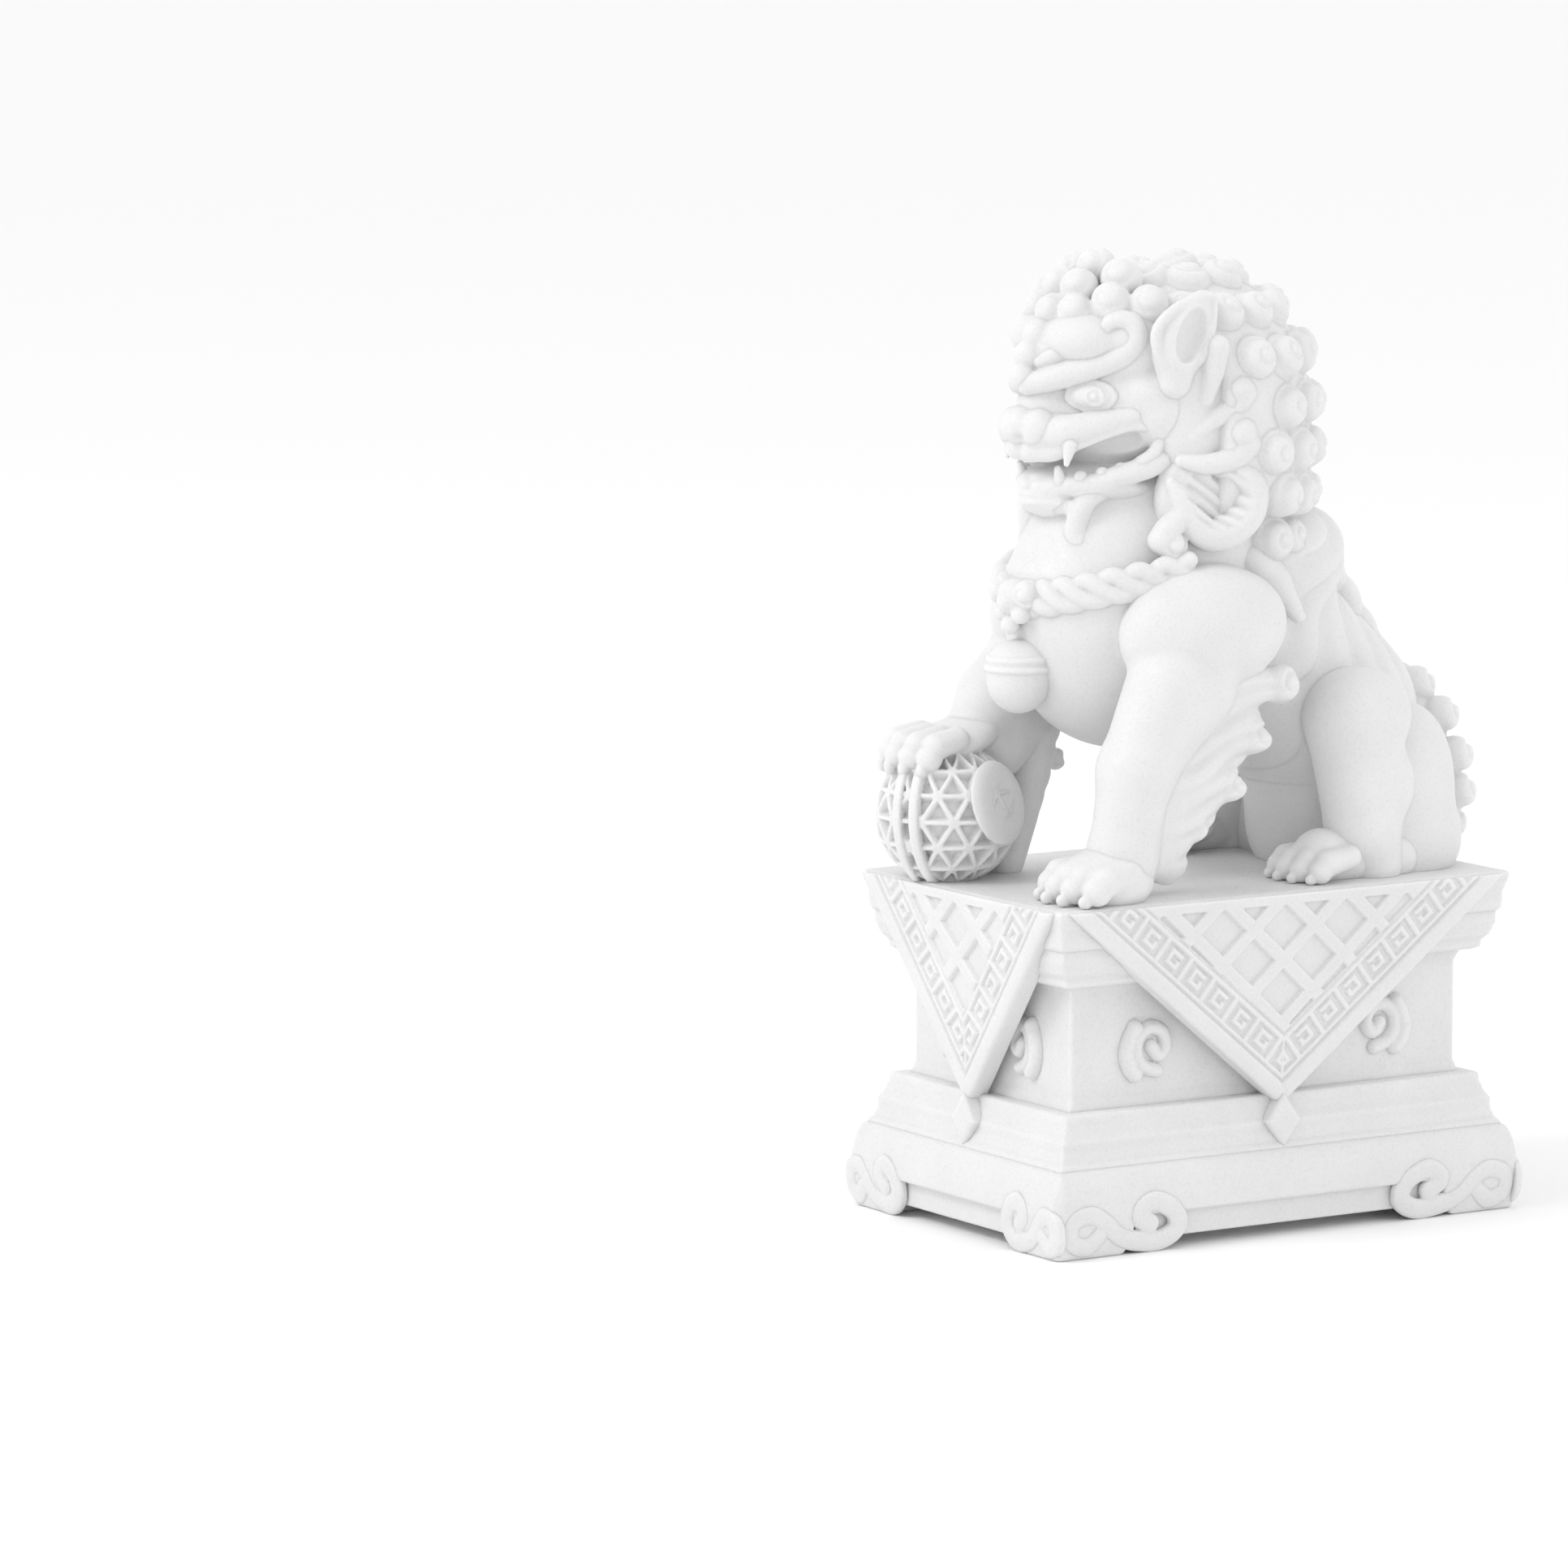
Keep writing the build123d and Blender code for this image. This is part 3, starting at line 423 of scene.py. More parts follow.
def tail_hair(x, y, z):
    return strands(fade(y, 39, 43), x * (1 + 0.0012 * (z - 20) ** 2) + 0.8 * np.sin(0.25 * z), 2.7)


tail.comb(tail_hair, 0.6)
for side in (-1, 1):
    for x, y, h, r in (
        (4.8, 42.6, 28.0, 3.2), (8.0, 45.2, 23.2, 3.2), (9.6, 47.0, 16.6, 3.2), (9.8, 47.6, 10.6, 3.1),
        (8.6, 47.0, 5.4, 2.8),
    ):
        tail.rod(
            (side * x * 0.4, y - 0.8, max(h - 8.0, 2.0)), (side * x * 0.9, y - 0.2, h - 0.8), 2.2, 2.2, k=0.8
        )
        tail.snail((side * x, y, h), r, (side * 0.8, 0.8, 0.15), depth=0.5, pitch=2.3, spin=-side, k=0.5)

# ------------------------------------------------------------------------------- forelegs
for side, word in ((1, "left"), (-1, "right")):
    leg = member(f"{word}_foreleg", (8, -42, 0), (32, 12, 56), side=side, blend=1.2)
    leg.oval((18.6, -9.8, 41.6), (8.6, 15.2, 10.4), (6, 0, 0))
    if side > 0:
        leg.rod((21.2, -18.5, 33.5), (21.9, -25.0, 20.5), 6.7, 5.9, k=1.2)
        leg.rod((21.6, -12.0, 32.0), (21.8, -22.0, 22.0), 5.2, 4.6, k=2.5)
        leg.rod((21.9, -25.0, 20.5), (21.8, -27.4, 7.0), 5.9, 5.3, k=2)
        leg.rod((21.8, -27.4, 7.0), (21.8, -29.0, 3.0), 5.4, 5.6, k=2)
    else:
        leg.rod((20.0, -17.5, 34.0), (17.6, -25.6, 28.0), 6.9, 6.0, k=1.2)
        leg.rod((17.6, -25.6, 28.0), (15.0, -31.0, 23.6), 6.0, 5.0, k=2)
        leg.rod((17.0, -20.0, 24.0), (15.0, -27.0, 19.0), 4.6, 4.2, k=2.5)

paw = member("left_forepaw", (10, -44, -1), (33, -19, 12), blend=0.5)
paw.oval((21.8, -30.5, 3.2), (6.7, 8.0, 5.4))
for i, x in enumerate((16.2, 19.9, 23.7, 27.2)):
    reach = (1.4, 0, 0.2, 1.8)[i]
    tip = x + (x - 21.7) * 0.10
    paw.rod((21.7 + (x - 21.7) * 0.8, -31.0 + reach, 5.0), (tip, -36.4 + reach, 4.0), 2.2, 2.5, k=0.9)
    paw.ball((tip, -38.0 + reach, 2.6), 2.35, k=0.5)
    paw.oval((tip, -40.2 + reach, 1.1), (0.9, 1.3, 1.1), k=0.3)

# The other forepaw lies over the top of the ball, with its toes hanging down its front.
over = ball - DECK
grip = member("right_forepaw", (-26, -54, 14), (-3, -24, 34), blend=0.5)
top = over[2] + ball_radius
grip.oval((over[0] - 1.2, over[1] + 1.6, top + 0.2), (6.6, 8.4, 3.4), (16, 0, 0))
for i, step in enumerate((-5.6, -1.9, 1.9, 5.4)):
    reach = (1.2, 0, 0.2, 1.4)[i]
    x = over[0] - 0.8 + step
    grip.rod((x * 0.96 - 0.4, over[1] - 2.6 + reach, top + 1.2), (x, over[1] - 6.6 + reach, top + 0.2), 2.0,
        2.2, k=0.8)
    grip.ball((x, over[1] - 7.9 + reach, top - 1.6), 2.15, k=0.4)
    grip.oval((x, over[1] - 9.4 + reach, top - 3.4), (0.9, 1.0, 1.4), k=0.3)

# --------------------------------------------------------------- feathers behind forelegs
for side, word in ((1, "left"), (-1, "right")):
    feather = member(f"{word}_leg_feather", (10, -34, -1), (30, 14, 42), side=side, blend=0.8)
    if side > 0:
        feather.rod((21.4, -14, 33), (20.4, 1.6, 32.4), 3.6, 2.6)
        feather.rod((21.6, -17, 26), (21.0, -3.8, 24.4), 3.4, 2.3, k=2.5)
        feather.rod((21.8, -20, 18), (21.4, -8.2, 17.0), 3.2, 2.1, k=2.5)
        feather.rod((21.8, -23, 11), (21.4, -14.6, 11.0), 3.4, 1.8, k=3)
        feather.rod((21.8, -25, 6), (21.6, -19.6, 6.0), 3.2, 2.2, k=3)
        feather.oval((20.6, -9.5, 27.0), (2.7, 9.5, 9.0), (20, 0, 0), k=2.5)
        feather.oval((21.2, -15.5, 17.5), (2.5, 8.0, 9.0), (26, 0, 0), k=2.5)
        feather.oval((21.4, -20.0, 9.5), (2.3, 5.0, 8.5), (20, 0, 0), k=2.5)
        knobs = (
            (20.6, 3.8, 32.2, 3.3), (21.2, -1.6, 24.0, 3.0), (21.6, -6.4, 16.6, 2.7), (21.6, -13.2, 10.4, 2.1)
        )
    else:
        feather.rod((20.0, -14, 33), (20.2, 3.4, 33.0), 3.6, 3.0)
        feather.roll(
            ((19.4, -9.5, 32.0), (16.8, -16.6, 25.4), (15.2, -19.6, 18.0), (14.6, -22.6, 10.0),
                (14.2, -26.0, 2.0)),
            (4.2, 3.6, 3.4, 3.2, 3.4), k=2,
        )
        knobs = ((20.6, 5.4, 32.6, 3.2), (19.0, -5.4, 26.6, 2.6), (16.6, -14.6, 17.4, 1.9))
    for x, y, h, r in knobs:
        feather.snail((x, y, h), r, (1, 0.25, 0.1), depth=0.45, pitch=2.4, spin=-1, k=1.0)

    def feather_hair(x, y, z):
        return strands(fade(y, -22, -14) * (1 - fade(y, 0, 6)), z - 0.25 * y + 0.9 * np.sin(0.3 * y), 3.6)

    feather.comb(feather_hair, 0.45)

# --------------------------------------------------------------------- ball and its ribbon
brocade = member("brocade_ball", over - 14, over + 14, blend=0.3)
brocade.ball(over, ball_radius + 0.15)


def sphere_angles(x, y, z):
    px, py, pz = x - over[0], y - over[1], z - over[2]
    r = np.sqrt(px * px + py * py + pz * pz) + 1e-4
    return px / r, py / r, pz / r


def star_pits(x, y, z):
    """Pierced brocade: three sets of bands cross at sixty degrees and leave sunk triangles."""
    nx, ny, nz = sphere_angles(x, y, z)
    u = np.arcsin(np.clip(nz, -1, 1)) * ball_radius
    v = np.arctan2(ny, nx) * ball_radius * 0.92
    pitch = 4.4
    pit = 1.0
    for angle in (0, 60, 120):
        a = math.radians(angle)
        wave = np.abs(np.sin(np.pi * (u * math.cos(a) + v * math.sin(a)) / pitch))
        pit = pit * fade(wave, 0.2, 0.5)
    return pit


brocade.comb(star_pits, 1.7)

ribbon = member("ball_ribbon", over - 14.5, over + 14.5, blend=0.25)


def ribbon_band(normal, offset, half_width, proud):
    n = np.asarray(normal, float) / np.linalg.norm(normal)

    def distance(x, y, z):
        px, py, pz = x - over[0], y - over[1], z - over[2]
        r = np.sqrt(px * px + py * py + pz * pz)
        across = np.abs(px * n[0] + py * n[1] + pz * n[2] - offset) - half_width
        shell = np.abs(r - (ball_radius - 0.2)) - (0.7 + proud)
        return soft_max(across, shell, 0.5)

    ribbon.put(over - 13, over + 13, distance, 0.3)


ribbon_band((0.86, 0.5, 0.05), -3.4, 0.8, 0.35)
ribbon_band((0.86, 0.5, 0.05), -0.2, 0.8, 0.35)
ribbon_band((0.9, 0.35, 0.25), 10.7, 0.6, 0.5)

# ----------------------------------------------------------------------------------- head
head = member("head", (-20, -36, -24), (20, 8, 20), origin=mane, blend=1.0)
head.oval((0, -9.0, 1.5), (15.2, 16.0, 14.5))
head.oval((0, -11.0, 10.6), (14.4, 12.0, 9.0), k=2)                  # skull under the forelock
head.oval((0, -21.6, 0.2), (5.6, 8.6, 5.4), k=3)                     # bridge of the nose
head.oval((0, -24.6, 8.0), (5.4, 4.2, 6.0), k=1.5)
for y, z, r in ((-29.9, 5.0, 2.3), (-28.6, 8.6, 2.3), (-26.8, 11.8, 2.4)):
    head.ball((0, y, z), r, k=0.5)                                   # knots between the brows
for side in (-1, 1):
    head.oval((side * 5.0, -21.0, 11.2), (6.6, 6.6, 4.4), (0, 0, side * 34), k=0.8)    # forehead lobe
    head.oval((side * 10.2, -15.5, 11.0), (4.6, 4.6, 6.0), k=2)
    head.oval((side * 13.0, -9.8, 0.0), (4.0, 5.6, 5.6), k=3)        # cheek
    head.oval((side * 12.0, -13.5, 3.0), (3.4, 4.0, 2.6), (0, 0, side * 30), k=2)
    head.oval((side * 8.6, -24.4, 2.4), (4.4, 2.6, 2.5), (0, 0, side * 42), k=0.8, cut=True)  # eye socket

# Each eye is an almond with a raised lid all round and a ringed iris set towards its rear.
EYE = np.array((8.0, -21.7, 2.3))
EYE_RADII = (3.9, 2.6, 2.2)
EYE_TURN = 42
full_turn = np.linspace(0, 2 * math.pi, 13)


def on_eye(along, up, out=None):
    """A point given across the almond's face; it lies on the eyeball unless out is given."""
    turn = math.radians(EYE_TURN)
    if out is None:
        out = EYE_RADII[1] * math.sqrt(max(1 - (along / EYE_RADII[0]) ** 2 - (up / EYE_RADII[2]) ** 2, 0))
    return EYE + np.array((
        along * math.cos(turn) + out * math.sin(turn), along * math.sin(turn) - out * math.cos(turn), up,
    ))


for side, word in ((1, "left"), (-1, "right")):
    eye = member(f"{word}_eye", (2, -30, -4), (14, -14, 8), origin=mane, side=side, blend=0.0)
    eye.oval(EYE, EYE_RADII, (0, 0, EYE_TURN))
    eye.roll([on_eye(3.8 * math.cos(t), 2.0 * math.sin(t), 0.75) for t in full_turn], 0.6, k=0.3, steps=2)
    eye.roll([on_eye(0.9 + 1.3 * math.cos(t), 1.3 * math.sin(t)) for t in full_turn], 0.3, k=0.2, steps=2)
    eye.ball(on_eye(0.9, 0), 0.5, k=0.2)

    brow = member(f"{word}_brow", (-2, -35, 0), (20, -10, 20), origin=mane, side=side, blend=0.35)
    brow.roll(
        ((1.2, -29.6, 3.9), (4.2, -27.2, 4.9), (7.0, -24.0, 6.2), (10.0, -20.4, 7.7), (12.4, -17.8, 9.4),
         (13.5, -16.8, 11.7), (13.1, -17.5, 13.9), (11.9, -19.2, 14.6), (10.8, -20.6, 13.8),
         (10.6, -20.8, 12.5)),
        (1.7, 2.0, 2.1, 2.0, 1.9, 1.75, 1.6, 1.4, 1.15, 0.9), k=0.4,
    )
    brow.roll(((2.4, -28.0, 7.6), (4.2, -26.6, 8.7), (6.4, -24.4, 9.8)), (1.0, 1.3, 1.0), k=0.5)

    ear = member(f"{word}_ear", (9, -22, 0), (27, 4, 24), origin=mane, side=side, blend=0.6)
    ear.oval((16.2, -11.2, 11.4), (3.2, 4.3, 5.8), (-16, 8, 20), k=0.5)
    ear.oval((15.6, -7.6, 12.0), (3.0, 3.6, 5.6), k=2)
    ear.oval((17.4, -8.2, 15.0), (2.0, 3.4, 4.6), (-38, 6, 20), k=2)
    ear.rod((16.4, -11.6, 4.6), (16.8, -11.4, 8.0), 2.6, 3.2, k=2)
    ear.oval((19.8, -10.4, 12.2), (2.2, 2.7, 4.7), (-22, 8, 20), k=0.6, cut=True)
    ear.roll(
        ((17.8, -11.4, 5.6), (17.4, -15.2, 9.2), (17.4, -15.6, 13.4), (18.0, -11.6, 16.8),
            (18.2, -5.6, 18.2)),
        (1.2, 0.95, 0.9, 0.9, 0.6), k=0.5,
    )
    ear.roll(((17.2, -10.6, 6.2), (18.6, -7.6, 9.2), (18.8, -6.2, 13.4), (18.2, -5.2, 17.6)),
        (1.2, 0.95, 0.8, 0.6), k=0.5)

# --------------------------------------------------------------------- muzzle and mouth
muzzle = member("muzzle", (-19, -38, -13), (19, -6, 4), origin=mane, blend=0.8)
muzzle.oval((0, -24.0, -3.4), (7.0, 6.6, 4.2))
muzzle.oval((0, -27.6, -6.0), (4.8, 3.0, 2.8), k=1.5)
for side in (-1, 1):
    muzzle.roll(
        ((side * 3.6, -28.4, -4.4), (side * 6.4, -26.4, -3.4), (side * 8.8, -23.4, -2.6),
            (side * 10.8, -20.0, -1.8),
         (side * 12.4, -16.6, -0.6)),
        (2.5, 2.6, 2.3, 1.9, 1.5), k=0.8,
    )
    muzzle.roll(
        ((side * 2.2, -29.2, -6.6), (side * 5.4, -27.6, -6.6), (side * 7.6, -25.6, -5.8)), (1.8, 1.6, 1.2),
        k=0.6,
    )
    # The lip's thin rim runs back round the corner of the mouth.
    muzzle.roll(
        ((side * 7.4, -26.2, -6.2), (side * 9.6, -23.2, -4.8), (side * 11.4, -20.2, -3.4),
            (side * 12.9, -16.8, -2.4),
         (side * 13.7, -13.9, -3.0), (side * 13.9, -12.8, -4.7), (side * 13.8, -13.9, -6.8),
         (side * 13.3, -15.6, -8.2)),
        (0.7, 0.8, 0.8, 0.8, 0.85, 0.9, 1.0, 1.1), k=0.5,
    )

nose = member("nose", (-9, -37, -8), (9, -20, 5), origin=mane, blend=0.5)
nose.oval((0, -30.0, -2.6), (3.4, 3.3, 3.0))
for side in (-1, 1):
    nose.oval((side * 3.5, -28.9, -3.0), (2.8, 2.9, 3.1), k=0.7)
    nose.oval((side * 2.4, -32.2, -4.6), (1.0, 1.0, 0.8), k=0.4, cut=True)

for carved in (head, muzzle):
    for side in (-1, 1):
        carved.roll(
            ((side * 2.0, -26.6, -9.8), (side * 6.6, -24.2, -8.8), (side * 9.8, -20.4, -6.6),
                (side * 11.8, -16.6, -5.0)),
            (1.7, 2.1, 2.4, 1.6), k=0.5, cut=True,
        )

jaw = member("lower_jaw", (-18, -36, -22), (18, -4, -4), origin=mane, blend=0.9)
jaw.oval((0, -16.8, -12.3), (12.2, 11.0, 3.3), (-4, 0, 0))
for side in (-1, 1):
    jaw.roll(
        ((side * 1.5, -27.6, -12.4), (side * 5.6, -25.6, -12.4), (side * 8.8, -22.4, -11.8),
            (side * 11.4, -18.4, -10.4),
         (side * 13.2, -14.6, -9.2), (side * 13.8, -12.2, -8.2)),
        (1.1, 1.3, 1.6, 1.8, 1.8, 1.5), k=0.6,
    )
jaw.oval((0, -24.8, -14.4), (5.6, 4.0, 3.2), k=1.0)
for lift in (0, 1.3):
    jaw.roll(((-5.0, -26.0, -13.4 - lift), (0, -28.6, -13.6 - lift), (5.0, -26.0, -13.4 - lift)), 0.7, k=0.4)

fangs = member("upper_fangs", (-12, -31, -13), (12, -22, -3), origin=mane, blend=0.2)
for side in (-1, 1):
    fangs.rod((side * 8.4, -26.2, -5.4), (side * 8.5, -26.9, -8.4), 1.25, 0.45)
teeth = member("lower_teeth", (-15, -30, -14), (15, -10, -4), origin=mane, blend=0.2)
for side in (-1, 1):
    teeth.rod((side * 5.4, -25.9, -11.6), (side * 5.4, -26.5, -9.4), 1.2, 0.6)
    for x, y, h in ((8.0, -23.8, -10.7), (9.9, -21.0, -10.1), (11.3, -18.4, -9.4)):
        teeth.ball((side * x, y, h), 1.15, k=0.2)

# ------------------------------------------------------------------------ beard and locks
beard = member("beard", (-17, -36, -36), (17, -6, -10), origin=mane, blend=1.2)
beard.oval((0, -14.0, -18.5), (8.8, 8.6, 9.0))
for side in (-1, 1):
    beard.roll(
        ((side * 9.4, -20.6, -12.6), (side * 8.2, -22.8, -14.6), (side * 7.0, -23.8, -17.4),
            (side * 6.8, -23.6, -20.4),
         (side * 8.0, -22.2, -22.2), (side * 9.6, -20.4, -22.4)),
        (1.3, 1.6, 1.7, 1.7, 1.7, 1.6), k=0.7,
    )
    beard.roll(
        ((side * 6.4, -24.2, -15.6), (side * 3.2, -25.8, -15.4), (0, -26.2, -15.2)), (1.2, 1.1, 1.0), k=0.6
    )
    beard.oval((side * 3.2, -22.4, -18.2), (2.3, 2.6, 2.6), k=0.6, cut=True)

for side, word in ((1, "left"), (-1, "right")):
    ruff = member(f"{word}_ruff", (8, -18, -16), (27, 8, 16), origin=mane, side=side, blend=0.6)
    ruff.oval((14.0, -5.6, -0.5), (4.5, 7.4, 12.5), k=1)
    ruff.oval((14.6, -5.0, 7.0), (3.8, 5.4, 6.0), k=2)
    ruff.roll(((19.4, -5.4, 10.2), (18.8, -5.8, 6.4), (18.0, -6.6, 1.8)), (1.9, 1.8, 1.3), k=0.5)
    ruff.roll(
        ((17.0, -8.4, -4.0), (18.4, -5.0, -1.2), (19.5, -2.0, 0.4), (20.0, -0.7, 2.6)), (1.1, 1.6, 1.8, 2.0),
        k=0.5,
    )
    ruff.ball((20.0, -1.4, 3.2), 2.1, k=0.4)
    ruff.roll(
        ((17.0, -10.8, -8.0), (18.4, -6.8, -8.6), (19.8, -2.6, -7.8), (20.5, -0.2, -5.6)),
        (0.9, 1.6, 1.9, 2.0), k=0.5,
    )
    ruff.ball((20.4, -1.2, -3.6), 2.3, k=0.4)

    lock = member(f"{word}_cheek_lock", (8, -22, -30), (27, 8, -4), origin=mane, side=side, blend=0.5)
    lock.oval((14.2, -5.8, -14.2), (4.3, 7.6, 8.4), k=0.8)
    lock.roll(
        ((17.0, -7.0, -9.4), (19.0, -2.4, -9.8), (20.2, 0.7, -12.6), (20.0, 0.2, -16.6), (19.2, -3.0, -19.4),
         (18.4, -6.6, -19.6), (17.9, -9.0, -17.2), (17.2, -10.6, -14.2), (16.4, -12.2, -11.4)),
        (1.2, 2.1, 2.6, 2.8, 2.9, 2.8, 2.4, 1.9, 0.9), k=0.5,
    )
    lock.roll(((17.6, -10.0, -16.4), (16.9, -12.8, -18.6), (16.5, -14.2, -20.6)), (1.9, 2.1, 2.1), k=0.5)
    lock.snail((16.8, -12.2, -21.4), 2.6, (1, -0.4, 0.2), depth=0.4, pitch=2.0, k=0.5)

    def lock_hair(x, y, z):
        zone = (1 - fade(np.sqrt((y + 5.4) ** 2 + (z + 14.0) ** 2), 4.4, 5.4)) * fade(x, 14, 16)
        return strands(zone, (z + 13) * 0.8 + (y + 5) * 0.6, 1.9)

    lock.comb(lock_hair, 0.6)

# ----------------------------------------------------------------------------------- mane
core = member("mane_core", (-26, -26, -28), (26, 26, 26), origin=mane, blend=0.8)
core.oval((0, 0.0, 0), (mane_radius - 1.2, mane_radius - 1.0, mane_radius - 0.6))
core.oval((0, 1.0, -10), (mane_radius - 1.6, mane_radius - 1.8, 16), k=4)
core.put(
    (-26, -26, -28), (26, 26, 26),
    lambda x, y, z: (y + 4.0 + 0.0 * x) + np.clip(z - 9, 0, 9) * 2.2, k=1.5, cut=True,
)

curls = member("mane_curls", (-29, -29, -30), (29, 29, 29), origin=mane, blend=0.9)
CURL = 3.75
rng = np.random.default_rng(7)
for row in range(8):
    polar = min(row, 4) * math.radians(22.5)
    drop = max(0, row - 4) * 7.2
    shrink = 1.0 if row < 6 else (0.97, 0.86)[row - 6]
    reach = (mane_radius - 1.6) * shrink
    around_count = (1, 8, 15, 19, 21, 21, 21, 19)[row]
    for step in range(around_count):
        around = 2 * math.pi * (step + 0.5 * (row % 2)) / around_count
        outward = np.array(
            (math.sin(polar) * math.sin(around), math.sin(polar) * math.cos(around), math.cos(polar))
        )
        place = outward * reach
        place[2] -= drop
        front_edge = (-99, -19.5, -10.0, -1.0, 2.0, 2.4, 2.4, 3.0)[row]
        if place[1] < front_edge:
            continue
        jitter = rng.uniform(-0.25, 0.25, 3)
        crown = outward + np.array((0, 0, 0.15)) + rng.uniform(-0.25, 0.25, 3)
        curls.snail(
            place + jitter, CURL + rng.uniform(-0.15, 0.15), crown,
            depth=0.35, pitch=2.2, spin=1 if place[0] > 0 else -1, k=0.6,
        )
# The forelock: rows of curls that start right over the brows.
for x, y, h, r in (
    (0.0, -24.0, 15.4, 2.9), (4.8, -22.8, 15.6, 2.9), (-4.8, -22.8, 15.6, 2.9), (2.6, -20.6, 19.2, 3.1),
    (-2.6, -20.6, 19.2, 3.1), (8.9, -18.8, 17.2, 3.2), (-8.9, -18.8, 17.2, 3.2), (6.6, -15.2, 20.6, 3.4),
    (-6.6, -15.2, 20.6, 3.4), (0, -15.6, 22.0, 3.3), (12.6, -14.0, 17.0, 3.1), (-12.6, -14.0, 17.0, 3.1),
):
    curls.snail((x, y, h), r, (x * 0.06, -0.8, 0.5), depth=0.3, pitch=2.6, spin=1 if x > 0 else -1, k=0.6)

# ---------------------------------------------------------------- collar, clasp and bell
collar = member("collar", (-24, -42, 40), (24, -6, 60), blend=0.4)
collar_line = np.array((
    (-19.0, -13.0, 51.4), (-16.2, -21.6, 49.8), (-11.0, -28.6, 48.0), (-4.0, -32.0, 46.6), (4.0, -32.0, 46.6),
    (11.0, -28.6, 48.0), (16.2, -21.6, 49.8), (19.0, -13.0, 51.4),
))
collar_path = smooth_path(collar_line, 1.0, 8)[0]
for phase in (0, 2, 4):
    twist = []
    for i, point in enumerate(collar_path):
        angle = i * 0.55 + phase * math.pi / 3
        twist.append(point + np.array((0, 0.7 * math.cos(angle), 1.7 * math.sin(angle))))
    collar.roll(twist, 1.45, k=0.2, steps=2)

clasp = member("collar_clasp", (-9, -42, 38), (9, -26, 54), blend=0.4)
clasp.oval((0, -33.6, 46.6), (3.2, 2.6, 3.0))
for side in (-1, 1):
    clasp.snail((side * 3.6, -33.4, 47.4), 2.4, (side * 0.4, -1, 0.1), depth=0.4, pitch=2.0, spin=side, k=0.4)
    clasp.oval((side * 2.4, -34.0, 44.0), (1.7, 1.6, 1.5), k=0.4)
clasp.oval((0, -35.4, 46.0), (1.5, 1.3, 1.6), k=0.4)
clasp.oval((0, -34.4, 42.2), (1.6, 1.5, 1.6), k=0.4)

bell_low, bell_high = box_mm("bell")
bell_radius = (bell_high[0] - bell_low[0]) / 2
bell_at = np.array((0.0, bell_low[1] + bell_radius, bell_low[2] + bell_radius)) - DECK
bell = member("bell", bell_at - (8, 8, 8), bell_at + (8, 8, 12), blend=0.3)
bell_at = bell_at + (0, -1.2, 0.4)
bell.oval(bell_at, (bell_radius, bell_radius, bell_radius * 1.08))
bell.oval(bell_at + (0, 0, 2.6), (bell_radius * 0.93, bell_radius * 0.93, bell_radius * 0.72), k=1.5)
for lift, radius in ((1.8, 1.02), (3.3, 0.95)):
    ring = bell_radius * radius

    def band(x, y, z, lift=lift, ring=ring):
        rho = np.sqrt((x - bell_at[0]) ** 2 + (y - bell_at[1]) ** 2)
        return np.sqrt((rho - ring + 0.1) ** 2 + (z - bell_at[2] - lift) ** 2) - 0.5

    bell.put(bell_at - 6.5, bell_at + 6.5, band, 0.25)
for side, word in ((1, "left"), (-1, "right")):
    tassel = member(f"{word}_shoulder_tassel", (6, -6, 38), (26, 16, 60), side=side, blend=0.4)
    tassel.oval((15.2, 3.6, 50.6), (3.2, 5.2, 3.4), (-42, 0, 12))
    tassel.rod((16.0, 6.0, 48.0), (17.4, 9.6, 42.6), 2.8, 1.2, k=1.5)


# ------------------------------------------------------ join the members into one carving
low = np.min([m.start for m in members], axis=0)
high = np.max([m.stop for m in members], axis=0)
whole = np.full(high - low, FAR, dtype=np.float32)
nearest = np.full(high - low, FAR, dtype=np.float32)
second = np.full(high - low, FAR, dtype=np.float32)
owner = np.full(high - low, 255, dtype=np.uint8)
for number, m in enumerate(members):
    z_up = (m.axes[2] + m.origin[2])[None, None, :]
    m.field = np.maximum(m.field, (deck - 0.3) - z_up).astype(np.float32)
    m.cut = tuple(slice(a - b, c - b) for a, b, c in zip(m.start, low, m.stop))
    near, far = nearest[m.cut], second[m.cut]
    whole[m.cut] = soft_min(whole[m.cut], m.field, m.blend)
    closer = m.field < near
    second[m.cut] = np.where(closer, near, np.minimum(far, m.field))
    owner[m.cut] = np.where(closer, number, owner[m.cut])
    nearest[m.cut] = np.minimum(near, m.field)

for number, m in enumerate(members):
    near, far = nearest[m.cut], second[m.cut]
    beyond = np.where(owner[m.cut] == number, near - far, m.field - near) * 0.5
    surface = np.maximum(whole[m.cut] + DIP * np.maximum(beyond, 0), beyond - OVERLAP)
    piece = mesh_field(f"carved_{m.node}", surface, m.start, FINE)
    finish_piece(piece, m.node, lion_stone)
    m.field = None
del whole, nearest, second, owner

# ============================================================================ the plinth
foot_half = (foot_high - foot_low)[:2] / 2 - 0.8      # the plinth's outline, inside the foot's swell
waist_low, waist_high = box_mm("plinth_waist")
waist_half = (waist_high - waist_low)[:2] / 2
slab_half = (box_mm("plinth_slab")[1] - box_mm("plinth_slab")[0])[:2] / 2
step_top = box_mm("plinth_step")[1][2]
foot_top = foot_high[2]
cornice_top = box_mm("plinth_cornice")[1][2]
PLINTH_FINE = 0.35


def rounded_box(x, y, half_x, half_y, corner):
    qx, qy = np.abs(x) - (half_x - corner), np.abs(y) - (half_y - corner)
    return (
        np.sqrt(np.maximum(qx, 0) ** 2 + np.maximum(qy, 0) ** 2)
        + np.minimum(np.maximum(qx, qy), 0)
        - corner
    )


